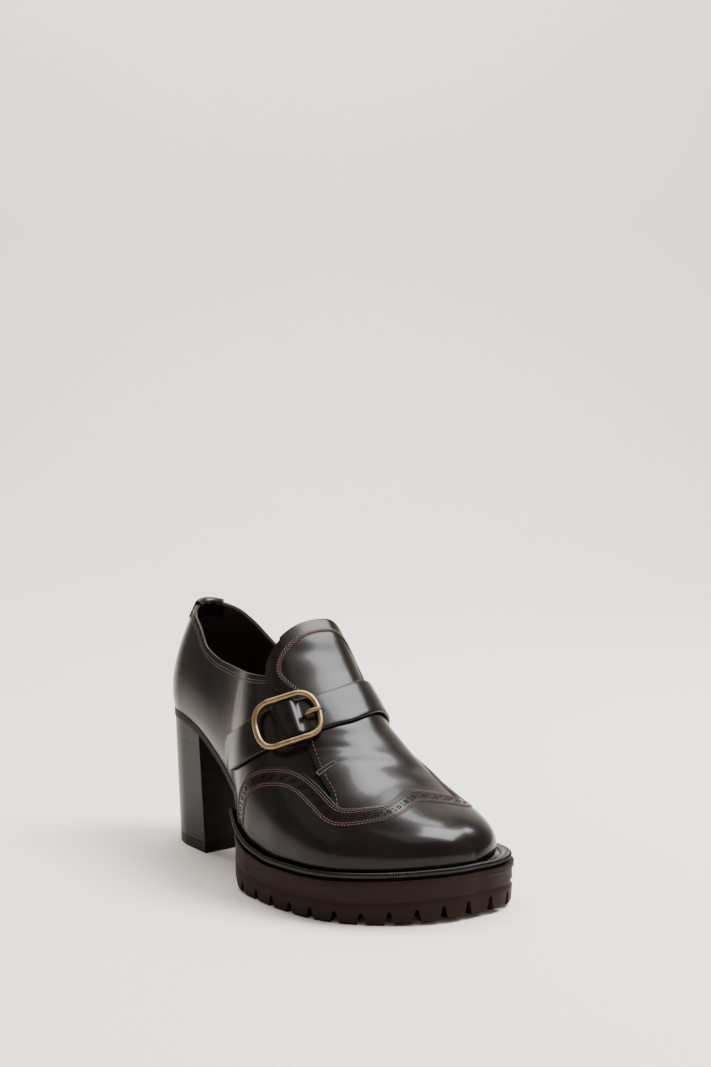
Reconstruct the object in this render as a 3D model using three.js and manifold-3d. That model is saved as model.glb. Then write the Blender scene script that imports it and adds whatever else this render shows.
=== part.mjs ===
// Right-foot heeled loafer: a wing-tip upper with a high tongue, a strap with an oval buckle, a beaded
// welt, a lugged platform sole and a stacked block heel. It stands empty on its sole.
// Millimetres. +Z is up, the toe points to -Y and +X is the medial (big toe) side.
// The origin is the centre of the heel's ground face.
import * as THREE from "three";
import { mergeVertices } from "three/addons/utils/BufferGeometryUtils.js";
import Module from "manifold-3d";

const wasm = await Module();
wasm.setup();

// The last
const UPPER_LENGTH = 230; // plan length of the upper, heel back to toe tip
const BALL_WIDTH = 94; // upper across the ball
const SEAT_HEIGHT = 81; // floor to the upper's bottom edge at the heel back
const FOREFOOT_HEIGHT = 24.5; // floor to the upper's bottom edge under the ball
const CROWN_HEIGHT = 100; // scale of the ridge's height above the bottom edge
const HEEL_ROUND = 31; // plan length of the rounded heel end
const TOE_ROUND = 56; // plan length of the rounded toe end
const TOE_PLAN_SQUARE = 2.15; // superellipse power of the toe seen from above
const TOE_SIDE_SQUARE = 2.5; // superellipse power of the toe seen from the side
const BELLY_HEIGHT = 24; // height above the bottom edge where the wall bulges most
const LEAN_HEIGHT = 66; // height above the bottom edge where the lean is measured

// Sections of the last, from the heel back (at 0) to the toe tip (at 1).
// centre, out, in, belly and lean are shares of BALL_WIDTH: the middle line's shift to the medial side,
// the half-widths to the lateral and medial side, the wall's bulge and its inward lean.
// seat is the share of the rise from FOREFOOT_HEIGHT to SEAT_HEIGHT, crown the share of CROWN_HEIGHT,
// and square the superellipse power of the section.
const LAST_COLUMNS = ["at", "centre", "out", "in", "seat", "crown", "square", "belly", "lean"];
const LAST_ROWS = [
  [0.0, 0.0, 0.28, 0.28, 1.0, 1.2, 4.5, 0.02, 0.175],
  [0.11, 0.0, 0.298, 0.296, 0.985, 1.2, 4.5, 0.028, 0.175],
  [0.21, 0.0, 0.306, 0.3, 0.89, 1.2, 4.2, 0.033, 0.155],
  [0.32, 0.0, 0.315, 0.28, 0.66, 1.2, 3.6, 0.035, 0.1],
  [0.41, 0.05, 0.39, 0.25, 0.42, 1.2, 3.0, 0.033, 0.045],
  [0.47, 0.1, 0.495, 0.25, 0.26, 1.13, 2.7, 0.032, 0.012],
  [0.535, 0.12, 0.575, 0.255, 0.12, 1.005, 2.55, 0.03, 0.0],
  [0.6, 0.12, 0.6, 0.285, 0.04, 0.84, 2.4, 0.03, 0.0],
  [0.675, 0.11, 0.59, 0.35, 0.0, 0.665, 2.2, 0.03, 0.0],
  [0.75, 0.13, 0.59, 0.385, 0.0, 0.49, 2.15, 0.03, 0.0],
  [0.835, 0.165, 0.585, 0.41, 0.005, 0.332, 2.25, 0.028, 0.0],
  [0.92, 0.21, 0.56, 0.41, 0.02, 0.266, 2.3, 0.026, 0.0],
  [1.0, 0.24, 0.52, 0.425, 0.045, 0.245, 2.3, 0.024, 0.0],
];

// Layers of leather, outwards from the last's own surface
const UPPER_WALL = 2.2; // lined leather of the quarters
const GAP = 0.3; // clearance between pieces that touch
const VAMP_THICK = 1.4;
const CAP_THICK = 2.0; // the wing cap stands proud of the vamp
const STRAP_THICK = 1.9;
const VAMP_TOP = GAP + VAMP_THICK;

// Collar seen from the side: at is a share of UPPER_LENGTH, rise a share of COLLAR_BACK above the heel seat
const COLLAR_BACK = 64; // heel seat to the collar at the heel back
const COLLAR_COLUMNS = ["at", "rise"];
const COLLAR_ROWS = [
  [-0.06, 1.02],
  [0.02, 1.0],
  [0.08, 0.94],
  [0.16, 0.79],
  [0.235, 0.6],
  [0.32, 0.51],
  [0.42, 0.48],
  [0.52, 0.48],
  [0.62, 0.48],
];

// Edge of the vamp and tongue from the side, from the wing seam back to the tongue's top:
// at is a share of UPPER_LENGTH, rise a share of CROWN_HEIGHT above FOREFOOT_HEIGHT
const TONGUE_ROWS = [
  [0.775, 0.335],
  [0.742, 0.395],
  [0.711, 0.465],
  [0.674, 0.555],
  [0.624, 0.69],
  [0.584, 0.78],
  [0.556, 0.822],
  [0.537, 0.86],
  [0.522, 0.93],
  [0.516, 0.99],
  [0.513, 1.06],
  [0.518, 1.16],
];
// Wing seam on each side from the waist to the valley beside the toe, in the same shares
const WING_OUT_ROWS = [
  [0.524, -0.1],
  [0.529, 0.14],
  [0.538, 0.245],
  [0.552, 0.325],
  [0.592, 0.405],
  [0.636, 0.435],
  [0.674, 0.436],
  [0.706, 0.414],
  [0.746, 0.362],
  [0.785, 0.306],
  [0.802, 0.286],
];
const WING_IN_ROWS = [
  [0.525, -0.1],
  [0.53, 0.14],
  [0.543, 0.25],
  [0.565, 0.335],
  [0.6, 0.4],
  [0.64, 0.43],
  [0.69, 0.43],
  [0.735, 0.395],
  [0.785, 0.345],
  [0.83, 0.29],
  [0.873, 0.25],
];
// Wing seam over the toe in plan: aside is a share of BALL_WIDTH, at a share of UPPER_LENGTH
const WING_TOP_ROWS = [
  [-0.31, 0.802],
  [-0.27, 0.82],
  [-0.21, 0.837],
  [-0.147, 0.85],
  [-0.07, 0.86],
  [0.012, 0.853],
  [0.06, 0.846],
  [0.115, 0.838],
  [0.18, 0.847],
  [0.26, 0.858],
  [0.34, 0.868],
  [0.42, 0.873],
];

// Strap centre line over the last: q is the share of girth (lateral is negative), at a share of UPPER_LENGTH
const STRAP_WIDTH = 21;
const STRAP_GAP = 0.55; // under the strap, whose facets are finer than the last's
const STRAP_COLUMNS = ["q", "at"];
const STRAP_ROWS = [
  [-0.87, 0.402],
  [-0.8, 0.45],
  [-0.7, 0.508],
  [-0.6, 0.553],
  [-0.5, 0.588],
  [-0.4, 0.617],
  [-0.3, 0.638],
  [-0.2, 0.65],
  [-0.1, 0.654],
  [0.0, 0.65],
  [0.12, 0.638],
  [0.3, 0.61],
  [0.5, 0.565],
  [0.7, 0.495],
  [0.82, 0.44],
  [0.95, 0.385],
];

// Buckle
const RING_WIRE = 3.2; // wire diameter
const RING_LENGTH = 37.5; // outside, along the strap
const RING_END = 10; // length of each rounded end
const RING_SQUARE = 2.5; // how full the rounded ends are
const RING_DROP = 0.3; // the ring hangs low across the strap
const RING_Q = -0.39; // girth share of the ring's centre
const BAR_WIRE = 2.0;
const HOLE_PITCH = 8.3;

// Sole, welt and heel
const WELT_HEIGHT = 3.2;
const SOLE_MARGIN = 6; // forefoot sole beyond the upper's bottom edge
const MEDIAL_MORE = 0.54; // how much wider the margin is on the medial side, as a share
const CORNER_MORE = 0.96; // and how much more again towards the big toe's corner
const WELT_END = 0.475; // share of UPPER_LENGTH where the welt begins
const SEAT_LAYER = 4; // sole layer between the upper and the heel
const TIP_HEIGHT = 6; // rubber top lift
const BREAST_TOP = 51; // heel back to the heel's front face, under the seat
const HEEL_BACK_LOW = 3; // how far the heel's ground face starts ahead of the heel back
const BREAST_LOW = 55;
const HEEL_NARROW = 0.93; // width of the ground face as a share of the heel's top
const INSOLE_THICK = 2.2;

// Underside of the sole from waist to toe: at is a share of UPPER_LENGTH, rise a share of SEAT_HEIGHT
const UNDER_COLUMNS = ["at", "rise"];
const UNDER_ROWS = [
  [0.42, 0.5],
  [0.45, 0.365],
  [0.48, 0.225],
  [0.505, 0.12],
  [0.53, 0.045],
  [0.555, 0.01],
  [0.58, 0.0],
  [0.9, 0.0],
  [0.95, 0.012],
  [1.03, 0.045],
];
// Side of the sole from the ground up: height is a share of its thickness, reach a share of SOLE_MARGIN
const WALL_COLUMNS = ["height", "reach"];
const WALL_ROWS = [
  [0.0, 0.8],
  [0.06, 0.93],
  [0.42, 0.98],
  [0.5, 0.88],
  [0.57, 0.98],
  [0.84, 0.97],
  [0.87, 1.06],
  [1.0, 1.06],
];

// Lugs
const LUG_PITCH = 13.8;
const NOTCH_FOOT = 4.7;
const NOTCH_TOP = 1.6;
const NOTCH_HEIGHT = 6;
const NOTCH_REACH = 15;

const ORIGIN_AT = 33; // heel back of the last to the origin, along the shoe

// A table's column as a monotone cubic of its first column, held flat past both ends
function curves(columns, rows) {
  const xs = rows.map((row) => row[0]);
  const made = {};
  columns.slice(1).forEach((name, k) => {
    const ys = rows.map((row) => row[k + 1]);
    const slopes = xs.slice(1).map((x, i) => (ys[i + 1] - ys[i]) / (x - xs[i]));
    const tangents = ys.map((_, i) => {
      if (i === 0) return slopes[0];
      if (i === ys.length - 1) return slopes[i - 1];
      const [a, b] = [slopes[i - 1], slopes[i]];
      if (a * b <= 0) return 0;
      const [wa, wb] = [xs[i + 1] - xs[i], xs[i] - xs[i - 1]];
      return (3 * (wa + wb)) / ((2 * wa + wb) / b + (wa + 2 * wb) / a);
    });
    made[name] = (x) => {
      if (x <= xs[0]) return ys[0];
      if (x >= xs[xs.length - 1]) return ys[ys.length - 1];
      const i = xs.findIndex((edge) => edge > x) - 1;
      const h = xs[i + 1] - xs[i];
      const t = (x - xs[i]) / h;
      const [t2, t3] = [t * t, t * t * t];
      return (
        (2 * t3 - 3 * t2 + 1) * ys[i] +
        (t3 - 2 * t2 + t) * h * tangents[i] +
        (3 * t2 - 2 * t3) * ys[i + 1] +
        (t3 - t2) * h * tangents[i + 1]
      );
    };
  });
  return made;
}

const last = curves(LAST_COLUMNS, LAST_ROWS);
const collar = curves(COLLAR_COLUMNS, COLLAR_ROWS);

const seatHeight = (along) =>
  FOREFOOT_HEIGHT + (SEAT_HEIGHT - FOREFOOT_HEIGHT) * last.seat(along / UPPER_LENGTH);
const collarHeight = (along) => SEAT_HEIGHT + COLLAR_BACK * collar.rise(along / UPPER_LENGTH);

// A point of the unit superellipse in the first quarter, at an angle from its x axis
function superellipse(angle, power) {
  const [c, s] = [Math.max(0, Math.cos(angle)), Math.max(0, Math.sin(angle))];
  const radius = (c ** power + s ** power) ** (-1 / power);
  return [c * radius, s * radius];
}

// Stations run from 0 to 3: 0 to 1 round the heel end, 1 to 2 along the middle, 2 to 3 round the toe end.
// along is the distance from the heel back, narrow and low shrink the width and the ridge at the ends.
function station(t) {
  if (t <= 1) {
    const [x, y] = superellipse((t * Math.PI) / 2, 2);
    return { along: HEEL_ROUND * (1 - x), narrow: y, low: 1 };
  }
  if (t <= 2) {
    const middle = UPPER_LENGTH - HEEL_ROUND - TOE_ROUND;
    return { along: HEEL_ROUND + (t - 1) * middle, narrow: 1, low: 1 };
  }
  const [x, y] = superellipse(((3 - t) * Math.PI) / 2, TOE_PLAN_SQUARE);
  const low = Math.max(0, 1 - x ** TOE_SIDE_SQUARE) ** (1 / TOE_SIDE_SQUARE);
  return { along: UPPER_LENGTH - TOE_ROUND * (1 - x), narrow: y, low };
}

const stationOf = (along) => 1 + (along - HEEL_ROUND) / (UPPER_LENGTH - HEEL_ROUND - TOE_ROUND);

// The bottom edge in plan, [along, across], on the lateral (side -1) or medial (side 1) side
function edge(t, side) {
  const { along, narrow } = station(t);
  const at = along / UPPER_LENGTH;
  const half = side < 0 ? last.out(at) : last.in(at);
  return [along, BALL_WIDTH * (last.centre(at) + side * half * narrow)];
}

// The outward direction of the bottom edge in plan
function outward(t, side) {
  const step = 0.01;
  const before = t < step ? edge(step - t, -side) : edge(t - step, side);
  const after = t > 3 - step ? edge(6 - t - step, -side) : edge(t + step, side);
  const [da, du] = [after[0] - before[0], after[1] - before[1]];
  const length = Math.hypot(da, du);
  return [(-side * du) / length, (side * da) / length];
}

// Half a section as points [along, across, up] from the bottom edge to the ridge, with running lengths
const SECTION_STEPS = 90;
const sectionCache = new Map();
function section(t, side) {
  const key = t.toFixed(6) + side;
  if (sectionCache.has(key)) return sectionCache.get(key);
  const { along, narrow, low } = station(t);
  const at = along / UPPER_LENGTH;
  const half = BALL_WIDTH * (side < 0 ? last.out(at) : last.in(at)) * narrow;
  const middle = BALL_WIDTH * last.centre(at);
  const crown = CROWN_HEIGHT * last.crown(at) * low;
  const [belly, lean] = [BALL_WIDTH * last.belly(at), BALL_WIDTH * last.lean(at)];
  const [na, nu] = outward(t, side);
  const points = [];
  const lengths = [0];
  for (let i = 0; i <= SECTION_STEPS; i++) {
    const [c, h] = superellipse((i / SECTION_STEPS) * (Math.PI / 2), last.square(at));
    const up = crown * h;
    const k = up / BELLY_HEIGHT;
    const push = (belly * k * Math.exp(1 - k) - lean * (up / LEAN_HEIGHT) ** 2) * c;
    points.push([along + na * push, middle + side * half * c + nu * push, seatHeight(along) + up]);
    if (i) lengths.push(lengths[i - 1] + Math.hypot(...points[i].map((v, k) => v - points[i - 1][k])));
  }
  sectionCache.set(key, { points, lengths });
  return sectionCache.get(key);
}

// A point of the last: q runs from -1 at the lateral bottom edge over the ridge (0) to 1 at the medial edge
function lastPoint(t, q) {
  const { points, lengths } = section(Math.min(t, 3), q < 0 ? -1 : 1);
  const total = lengths[SECTION_STEPS];
  if (total < 1e-9) return points[0].slice();
  const want = (1 - Math.min(1, Math.abs(q))) * total;
  let i = lengths.findIndex((length) => length >= want);
  i = Math.max(1, i < 0 ? SECTION_STEPS : i);
  const f = (want - lengths[i - 1]) / Math.max(1e-9, lengths[i] - lengths[i - 1]);
  return points[i].map((v, k) => points[i - 1][k] + f * (v - points[i - 1][k]));
}

const minus = (a, b) => a.map((v, k) => v - b[k]);
const plus = (a, b, scale = 1) => a.map((v, k) => v + scale * b[k]);
const dot = (a, b) => a[0] * b[0] + a[1] * b[1] + a[2] * b[2];
const cross = (a, b) => [
  a[1] * b[2] - a[2] * b[1],
  a[2] * b[0] - a[0] * b[2],
  a[0] * b[1] - a[1] * b[0],
];
const unit = (a) => a.map((v) => v / Math.hypot(...a));

// The last's outward direction, from differences along and around it; the toe tip faces forward
function facing(t, q) {
  const [dt, dq] = [0.012, 0.03];
  const before = t < dt ? lastPoint(dt - t, -q) : lastPoint(t - dt, q);
  const after = lastPoint(Math.min(3, t + dt), q);
  const around = minus(lastPoint(t, Math.min(1, q + dq)), lastPoint(t, Math.max(-1, q - dq)));
  const normal = cross(minus(after, before), around);
  if (t > 2.999 || Math.hypot(...normal) < 1e-7) return [1, 0, 0];
  return unit(normal);
}

const skin = (t, q, lift) => plus(lastPoint(t, q), facing(t, q), lift);

// From shoe coordinates [along, across, up] to the part's frame
const place = ([along, across, up]) => [across, ORIGIN_AT - along, up];

// A closed solid from points in shoe coordinates and faces of 3 or 4 corners
function solidOf(points, faces) {
  const flat = new Float32Array(points.flatMap(place));
  const triangles = faces.flatMap((f) => (f.length === 4 ? [f[0], f[1], f[2], f[0], f[2], f[3]] : f));
  const loose = new THREE.BufferGeometry().setAttribute("position", new THREE.BufferAttribute(flat, 3));
  loose.setIndex(triangles);
  const merged = mergeVertices(loose, 1e-3);
  const kept = [];
  const index = merged.index.array;
  for (let i = 0; i < index.length; i += 3) {
    const [a, b, c] = [index[i], index[i + 1], index[i + 2]];
    if (a !== b && b !== c && c !== a) kept.push(a, b, c);
  }
  const build = (order) =>
    new wasm.Manifold(
      new wasm.Mesh({
        numProp: 3,
        vertProperties: merged.attributes.position.array,
        triVerts: new Uint32Array(order),
      }),
    );
  const made = build(kept);
  return made.volume() > 0 ? made : build(kept.map((_, i) => kept[i - (i % 3) + [0, 2, 1][i % 3]]));
}

// Faces of a grid of points numbered row by row
function gridFaces(rows, columns, start = 0) {
  const faces = [];
  for (let i = 0; i + 1 < rows; i++)
    for (let j = 0; j + 1 < columns; j++) {
      const a = start + i * columns + j;
      faces.push([a, a + columns, a + columns + 1, a + 1]);
    }
  return faces;
}

// A sheet with a thickness: rows x columns grids of inner and outer points, closed round the rim
function sheetSolid(inner, outer, rows, columns) {
  const count = rows * columns;
  const faces = gridFaces(rows, columns, count);
  gridFaces(rows, columns).forEach((f) => faces.push(f.slice().reverse()));
  const rim = [];
  for (let j = 0; j + 1 < columns; j++) rim.push([j, j + 1]);
  for (let i = 0; i + 1 < rows; i++) rim.push([i * columns + columns - 1, (i + 1) * columns + columns - 1]);
  for (let j = columns - 1; j > 0; j--) rim.push([(rows - 1) * columns + j, (rows - 1) * columns + j - 1]);
  for (let i = rows - 1; i > 0; i--) rim.push([i * columns, (i - 1) * columns]);
  rim.forEach(([a, b]) => faces.push([b, a, a + count, b + count]));
  return solidOf([...inner, ...outer], faces);
}

// Stations of the last's facets: closer round both ends and where the ridge is steep
const HEEL_STEPS = 6;
const TOE_STEPS = 9;
const GIRTH_STEPS = 20;
const MIDDLE_SPANS = [
  { to: 0.37, steps: 5 },
  { to: 0.57, steps: 11 },
  { to: 1 - TOE_ROUND / UPPER_LENGTH, steps: 6 },
];
function stations() {
  const list = [];
  for (let i = 0; i < HEEL_STEPS; i++) list.push(i / HEEL_STEPS);
  let from = HEEL_ROUND / UPPER_LENGTH;
  for (const { to, steps } of MIDDLE_SPANS) {
    for (let i = 0; i < steps; i++) list.push(stationOf(UPPER_LENGTH * (from + ((to - from) * i) / steps)));
    from = to;
  }
  for (let i = 0; i <= TOE_STEPS; i++) list.push(2 + i / TOE_STEPS);
  return list;
}

// The whole last as a closed form, lifted off its surface and with its bottom lowered
function form(lift, drop) {
  const list = stations();
  const points = [];
  for (const t of list) {
    const row = [];
    for (let j = 0; j <= GIRTH_STEPS; j++) row.push(skin(t, (2 * j) / GIRTH_STEPS - 1, lift));
    const low = (p) => [p[0], p[1], p[2] - drop];
    points.push(low(row[0]), ...row, low(row[GIRTH_STEPS]));
  }
  const columns = GIRTH_STEPS + 3;
  const faces = gridFaces(list.length, columns);
  for (let i = 0; i + 1 < list.length; i++) {
    const [a, b] = [i * columns, (i + 1) * columns];
    faces.push([a, a + columns - 1, b + columns - 1, b]);
  }
  return solidOf(points, faces);
}

// A prism from an outline and the two levels it runs between; spot turns (x, y, level) into a point
function prism(outline, levels, spot) {
  const shape = outline.map(([x, y]) => new THREE.Vector2(x, y));
  if (THREE.ShapeUtils.area(shape) < 0) shape.reverse();
  const count = shape.length;
  const caps = THREE.ShapeUtils.triangulateShape(shape, []);
  const points = levels.flatMap((level) => shape.map(({ x, y }) => spot(x, y, level)));
  const faces = [...caps.map((f) => f.slice().reverse()), ...caps.map((f) => f.map((k) => k + count))];
  for (let i = 0; i < count; i++) {
    const next = (i + 1) % count;
    faces.push([i, next, next + count, i + count]);
  }
  return solidOf(points, faces);
}
// From an outline seen from the side, across the shoe
const sideBlock = (outline, from, to) =>
  prism(outline, [from, to], (along, up, across) => [along, across, up]);

const CUT_HALF_WIDTH = 80;
const CUT_TOP = 320;

// The upper: quarters, lining and toe as one wall, open at the collar and underneath
function makeUpper(outer) {
  const inner = form(-UPPER_WALL, 8);
  const steps = 26;
  const reach = [-0.06 * UPPER_LENGTH, 0.62 * UPPER_LENGTH];
  const outline = [[reach[1], CUT_TOP], [reach[0], CUT_TOP]];
  for (let i = 0; i <= steps; i++) {
    const along = reach[0] + ((reach[1] - reach[0]) * i) / steps;
    outline.push([along, collarHeight(along)]);
  }
  const open = outer.subtract(inner).subtract(seatBlock(0, FLOOR_BELOW));
  return main(open.subtract(sideBlock(outline, -CUT_HALF_WIDTH, CUT_HALF_WIDTH)));
}

// The largest body of a cut solid
const main = (solid) => solid.decompose().sort((a, b) => b.volume() - a.volume())[0];

const fromSide = (rows) =>
  rows.map(([at, rise]) => [at * UPPER_LENGTH, FOREFOOT_HEIGHT + rise * CROWN_HEIGHT]);

// A line moved sideways to its left by a distance
function offsetLine(line, distance) {
  return line.map(([x, y], i) => {
    const [a, b] = [line[Math.max(0, i - 1)], line[Math.min(line.length - 1, i + 1)]];
    const length = Math.hypot(b[0] - a[0], b[1] - a[1]);
    return [x - (distance * (b[1] - a[1])) / length, y + (distance * (b[0] - a[0])) / length];
  });
}

// Everything ahead of and below the wing seam, grown over the seam by a clearance
function wingRegion(grow) {
  const far = UPPER_LENGTH + 60;
  const side = (rows) => {
    const seam = offsetLine(fromSide(rows), 1.3 * grow);
    const [, up] = seam.pop();
    const front = rows[rows.length - 1][0] * UPPER_LENGTH - 1.3 * grow;
    return [...seam, [front, up], [front, CUT_TOP], [far, CUT_TOP], [far, -20], [seam[0][0], -20]];
  };
  const top = offsetLine(WING_TOP_ROWS.map(([aside, at]) => [aside * BALL_WIDTH, at * UPPER_LENGTH]), -1.3 * grow);
  const [first, end] = [WING_TOP_ROWS[0][0], WING_TOP_ROWS[WING_TOP_ROWS.length - 1][0]].map((v) => v * BALL_WIDTH);
  const line = [[first, top[0][1]], ...top.slice(1, -1), [end, top[top.length - 1][1]]];
  const plan = prism([...line, [end, far], [first, far]], [-20, CUT_TOP], (across, along, up) => [along, across, up]);
  return sideBlock(side(WING_OUT_ROWS), -CUT_HALF_WIDTH, first + grow)
    .add(plan)
    .add(sideBlock(side(WING_IN_ROWS), end - grow, CUT_HALF_WIDTH));
}

// The wing cap over the toe, a step prouder than the vamp
const makeWingCap = (touching) =>
  main(form(GAP + CAP_THICK, 4).subtract(touching).subtract(seatBlock(0, FLOOR_BELOW)).intersect(wingRegion(0)));

// The vamp with its high tongue, one piece of leather over the quarters
function makeVamp(touching) {
  const edgeLine = fromSide(TONGUE_ROWS);
  const last = edgeLine[edgeLine.length - 1];
  const outline = [...edgeLine, [last[0] + 2, CUT_TOP], [UPPER_LENGTH + 20, CUT_TOP], [UPPER_LENGTH + 20, 0], [195, 0]];
  const leather = form(VAMP_TOP, 0).subtract(touching);
  const cut = sideBlock(outline, -CUT_HALF_WIDTH, CUT_HALF_WIDTH).subtract(wingRegion(GAP));
  return main(leather.intersect(cut));
}

// The surface parameters nearest to a point, by Gauss-Newton steps
function settle(target, t, q) {
  const d = 0.004;
  for (let k = 0; k < 6; k++) {
    const here = lastPoint(t, q);
    const along = minus(lastPoint(t + d, q), here).map((v) => v / d);
    const around = minus(lastPoint(t, q + d), here).map((v) => v / d);
    const miss = minus(target, here);
    const [a, b, c] = [dot(along, along), dot(along, around), dot(around, around)];
    const [e, f] = [dot(along, miss), dot(around, miss)];
    const det = a * c - b * b;
    t += (e * c - f * b) / det;
    q += (a * f - b * e) / det;
    if (Math.abs(q) > 0.985) {
      t += ((q - Math.sign(q) * 0.985) * b) / a;
      q = Math.sign(q) * 0.985;
    }
  }
  return [t, q];
}

// The strap's centre line by running length, 0 at the ring's centre, with its frame
const strapCurve = curves(STRAP_COLUMNS, STRAP_ROWS);
const strapAt = (q) => {
  const t = stationOf(strapCurve.at(q) * UPPER_LENGTH);
  return { t, q, point: lastPoint(t, q) };
};
const strapLine = (() => {
  const steps = 240;
  const [first, end] = [STRAP_ROWS[0][0], STRAP_ROWS[STRAP_ROWS.length - 1][0]];
  const line = [];
  for (let i = 0; i <= steps; i++) {
    const spot = strapAt(first + ((end - first) * i) / steps);
    spot.run = i ? line[i - 1].run + Math.hypot(...minus(spot.point, line[i - 1].point)) : 0;
    line.push(spot);
  }
  const middle = line.find((spot) => spot.q >= RING_Q).run;
  line.forEach((spot) => (spot.run -= middle));
  return line;
})();
const strapSpot = (run) => {
  const i = Math.max(1, Math.min(strapLine.length - 1, strapLine.findIndex((spot) => spot.run >= run)));
  const [a, b] = [strapLine[i - 1], strapLine[i]];
  return strapAt(a.q + ((b.q - a.q) * (run - a.run)) / (b.run - a.run));
};
function strapFrame(run) {
  const spot = strapSpot(run);
  const tangent = unit(minus(strapSpot(run + 1.5).point, strapSpot(run - 1.5).point));
  const normal = facing(spot.t, spot.q);
  const side = unit(cross(normal, tangent));
  return { ...spot, tangent, normal, side };
}

const ease = (x) => {
  const k = Math.max(0, Math.min(1, x));
  return k * k * (3 - 2 * k);
};
// Lift of the strap's underside: over the vamp it rides higher, with a rise over the buckle's hidden bar
const strapLift = (run, q) =>
  STRAP_GAP + VAMP_TOP * ease((0.47 - Math.abs(q)) / 0.1) + (BAR_WIRE + 1.5 * GAP) * ease(1.65 - Math.abs(run) / 4.6);

function makeStrap(hole) {
  const [first, end] = [strapLine[0].run + 2, strapLine[strapLine.length - 1].run - 2];
  const runs = [];
  const tail = STRAP_WIDTH / 2;
  for (let i = 0; i < 5; i++) runs.push(first + tail * (1 - Math.cos((i / 5) * (Math.PI / 2))));
  const steps = 30;
  for (let i = 0; i <= steps; i++) runs.push(first + tail + ((end - first - tail) * i) / steps);
  const across = 6;
  const grid = (lift) =>
    runs.flatMap((run) => {
      const frame = strapFrame(run);
      const back = Math.max(0, (first + tail - run) / tail);
      const half = (STRAP_WIDTH / 2) * Math.max(0.25, (1 - back ** 2.4) ** (1 / 2.4));
      const row = [];
      for (let j = 0; j <= across; j++) {
        const b = half * ((2 * j) / across - 1);
        const [t, q] = settle(plus(frame.point, frame.side, b), frame.t, frame.q);
        row.push(skin(t, q, strapLift(run, q) + lift));
      }
      return row;
    });
  return sheetSolid(grid(0), grid(STRAP_THICK), runs.length, across + 1).subtract(hole);
}

// A round tube along points, closed into a ring or with flat ends; radius may change along it
function tube(points, radius, closed, sides = 8) {
  const count = points.length;
  const rings = [];
  let previous = null;
  for (let i = 0; i < count; i++) {
    const a = closed ? points[(i + count - 1) % count] : points[Math.max(0, i - 1)];
    const b = closed ? points[(i + 1) % count] : points[Math.min(count - 1, i + 1)];
    const tangent = unit(minus(b, a));
    const guess = previous || (Math.abs(tangent[2]) < 0.8 ? [0, 0, 1] : [1, 0, 0]);
    const side = unit(cross(tangent, guess));
    const upward = cross(side, tangent);
    previous = upward;
    const r = typeof radius === "function" ? radius(i / (count - 1)) : radius;
    for (let k = 0; k < sides; k++) {
      const angle = (2 * Math.PI * k) / sides;
      rings.push(plus(plus(points[i], side, r * Math.cos(angle)), upward, r * Math.sin(angle)));
    }
  }
  const faces = [];
  const last = closed ? count : count - 1;
  for (let i = 0; i < last; i++)
    for (let k = 0; k < sides; k++) {
      const [a, b] = [i * sides + k, i * sides + ((k + 1) % sides)];
      const shift = ((i + 1) % count) * sides;
      faces.push([a, b, (b % sides) + shift, (a % sides) + shift]);
    }
  if (!closed)
    for (let k = 1; k + 1 < sides; k++) {
      faces.push([0, k + 1, k]);
      const end = (count - 1) * sides;
      faces.push([end, end + k, end + k + 1]);
    }
  return solidOf(rings, faces);
}

// Places on the ring's bowed plane: x along the strap, b across it, lift above the last
const ringFrame = strapFrame(0);
const ringDrop = (() => {
  const reach = RING_LENGTH / 2;
  const fall = (run) => -dot(minus(strapSpot(run).point, ringFrame.point), ringFrame.normal) / reach ** 2;
  return [fall(-reach), fall(reach)];
})();
const RING_SIDE = ringFrame.side[2] < 0 ? 1 : -1;
function onRing(x, b, lift) {
  const drop = (x < 0 ? ringDrop[0] : ringDrop[1]) * x * x;
  const slide = plus(plus(ringFrame.point, ringFrame.tangent, x), ringFrame.side, b + RING_SIDE * RING_DROP);
  return plus(slide, ringFrame.normal, lift - drop);
}
const STRAP_TOP = 0.15 + STRAP_GAP + VAMP_TOP + STRAP_THICK;
const RING_LIFT = STRAP_TOP + GAP + RING_WIRE / 2 + 0.9;

// The oval ring with its centre bar, which lies under the strap
function makeBuckle() {
  const half = RING_LENGTH / 2 - RING_WIRE / 2;
  const wide = STRAP_WIDTH / 2 + 1.8 + RING_DROP;
  const straight = half - RING_END;
  const points = [];
  for (const end of [1, -1])
    for (let i = 0; i <= 9; i++) {
      const angle = -Math.PI / 2 + (Math.PI * i) / 9;
      const [c, s] = superellipse(Math.abs(angle), RING_SQUARE);
      points.push(onRing(end * (straight + RING_END * c), end * wide * s * Math.sign(angle), RING_LIFT));
    }
  const edgeOut = STRAP_WIDTH / 2 + 0.5 + BAR_WIRE / 2;
  const bar = [onRing(0, -wide, RING_LIFT)];
  for (const share of [-1, -0.7, -0.35, 0, 0.35, 0.7, 1]) {
    const [t, q] = settle(plus(ringFrame.point, ringFrame.side, share * edgeOut), ringFrame.t, ringFrame.q);
    bar.push(skin(t, q, strapLift(0, q) - 2.2 * GAP - BAR_WIRE / 2));
  }
  bar.push(onRing(0, wide, RING_LIFT));
  return tube(points, RING_WIRE / 2, true).add(tube(bar, BAR_WIRE / 2, false, 6));
}

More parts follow.
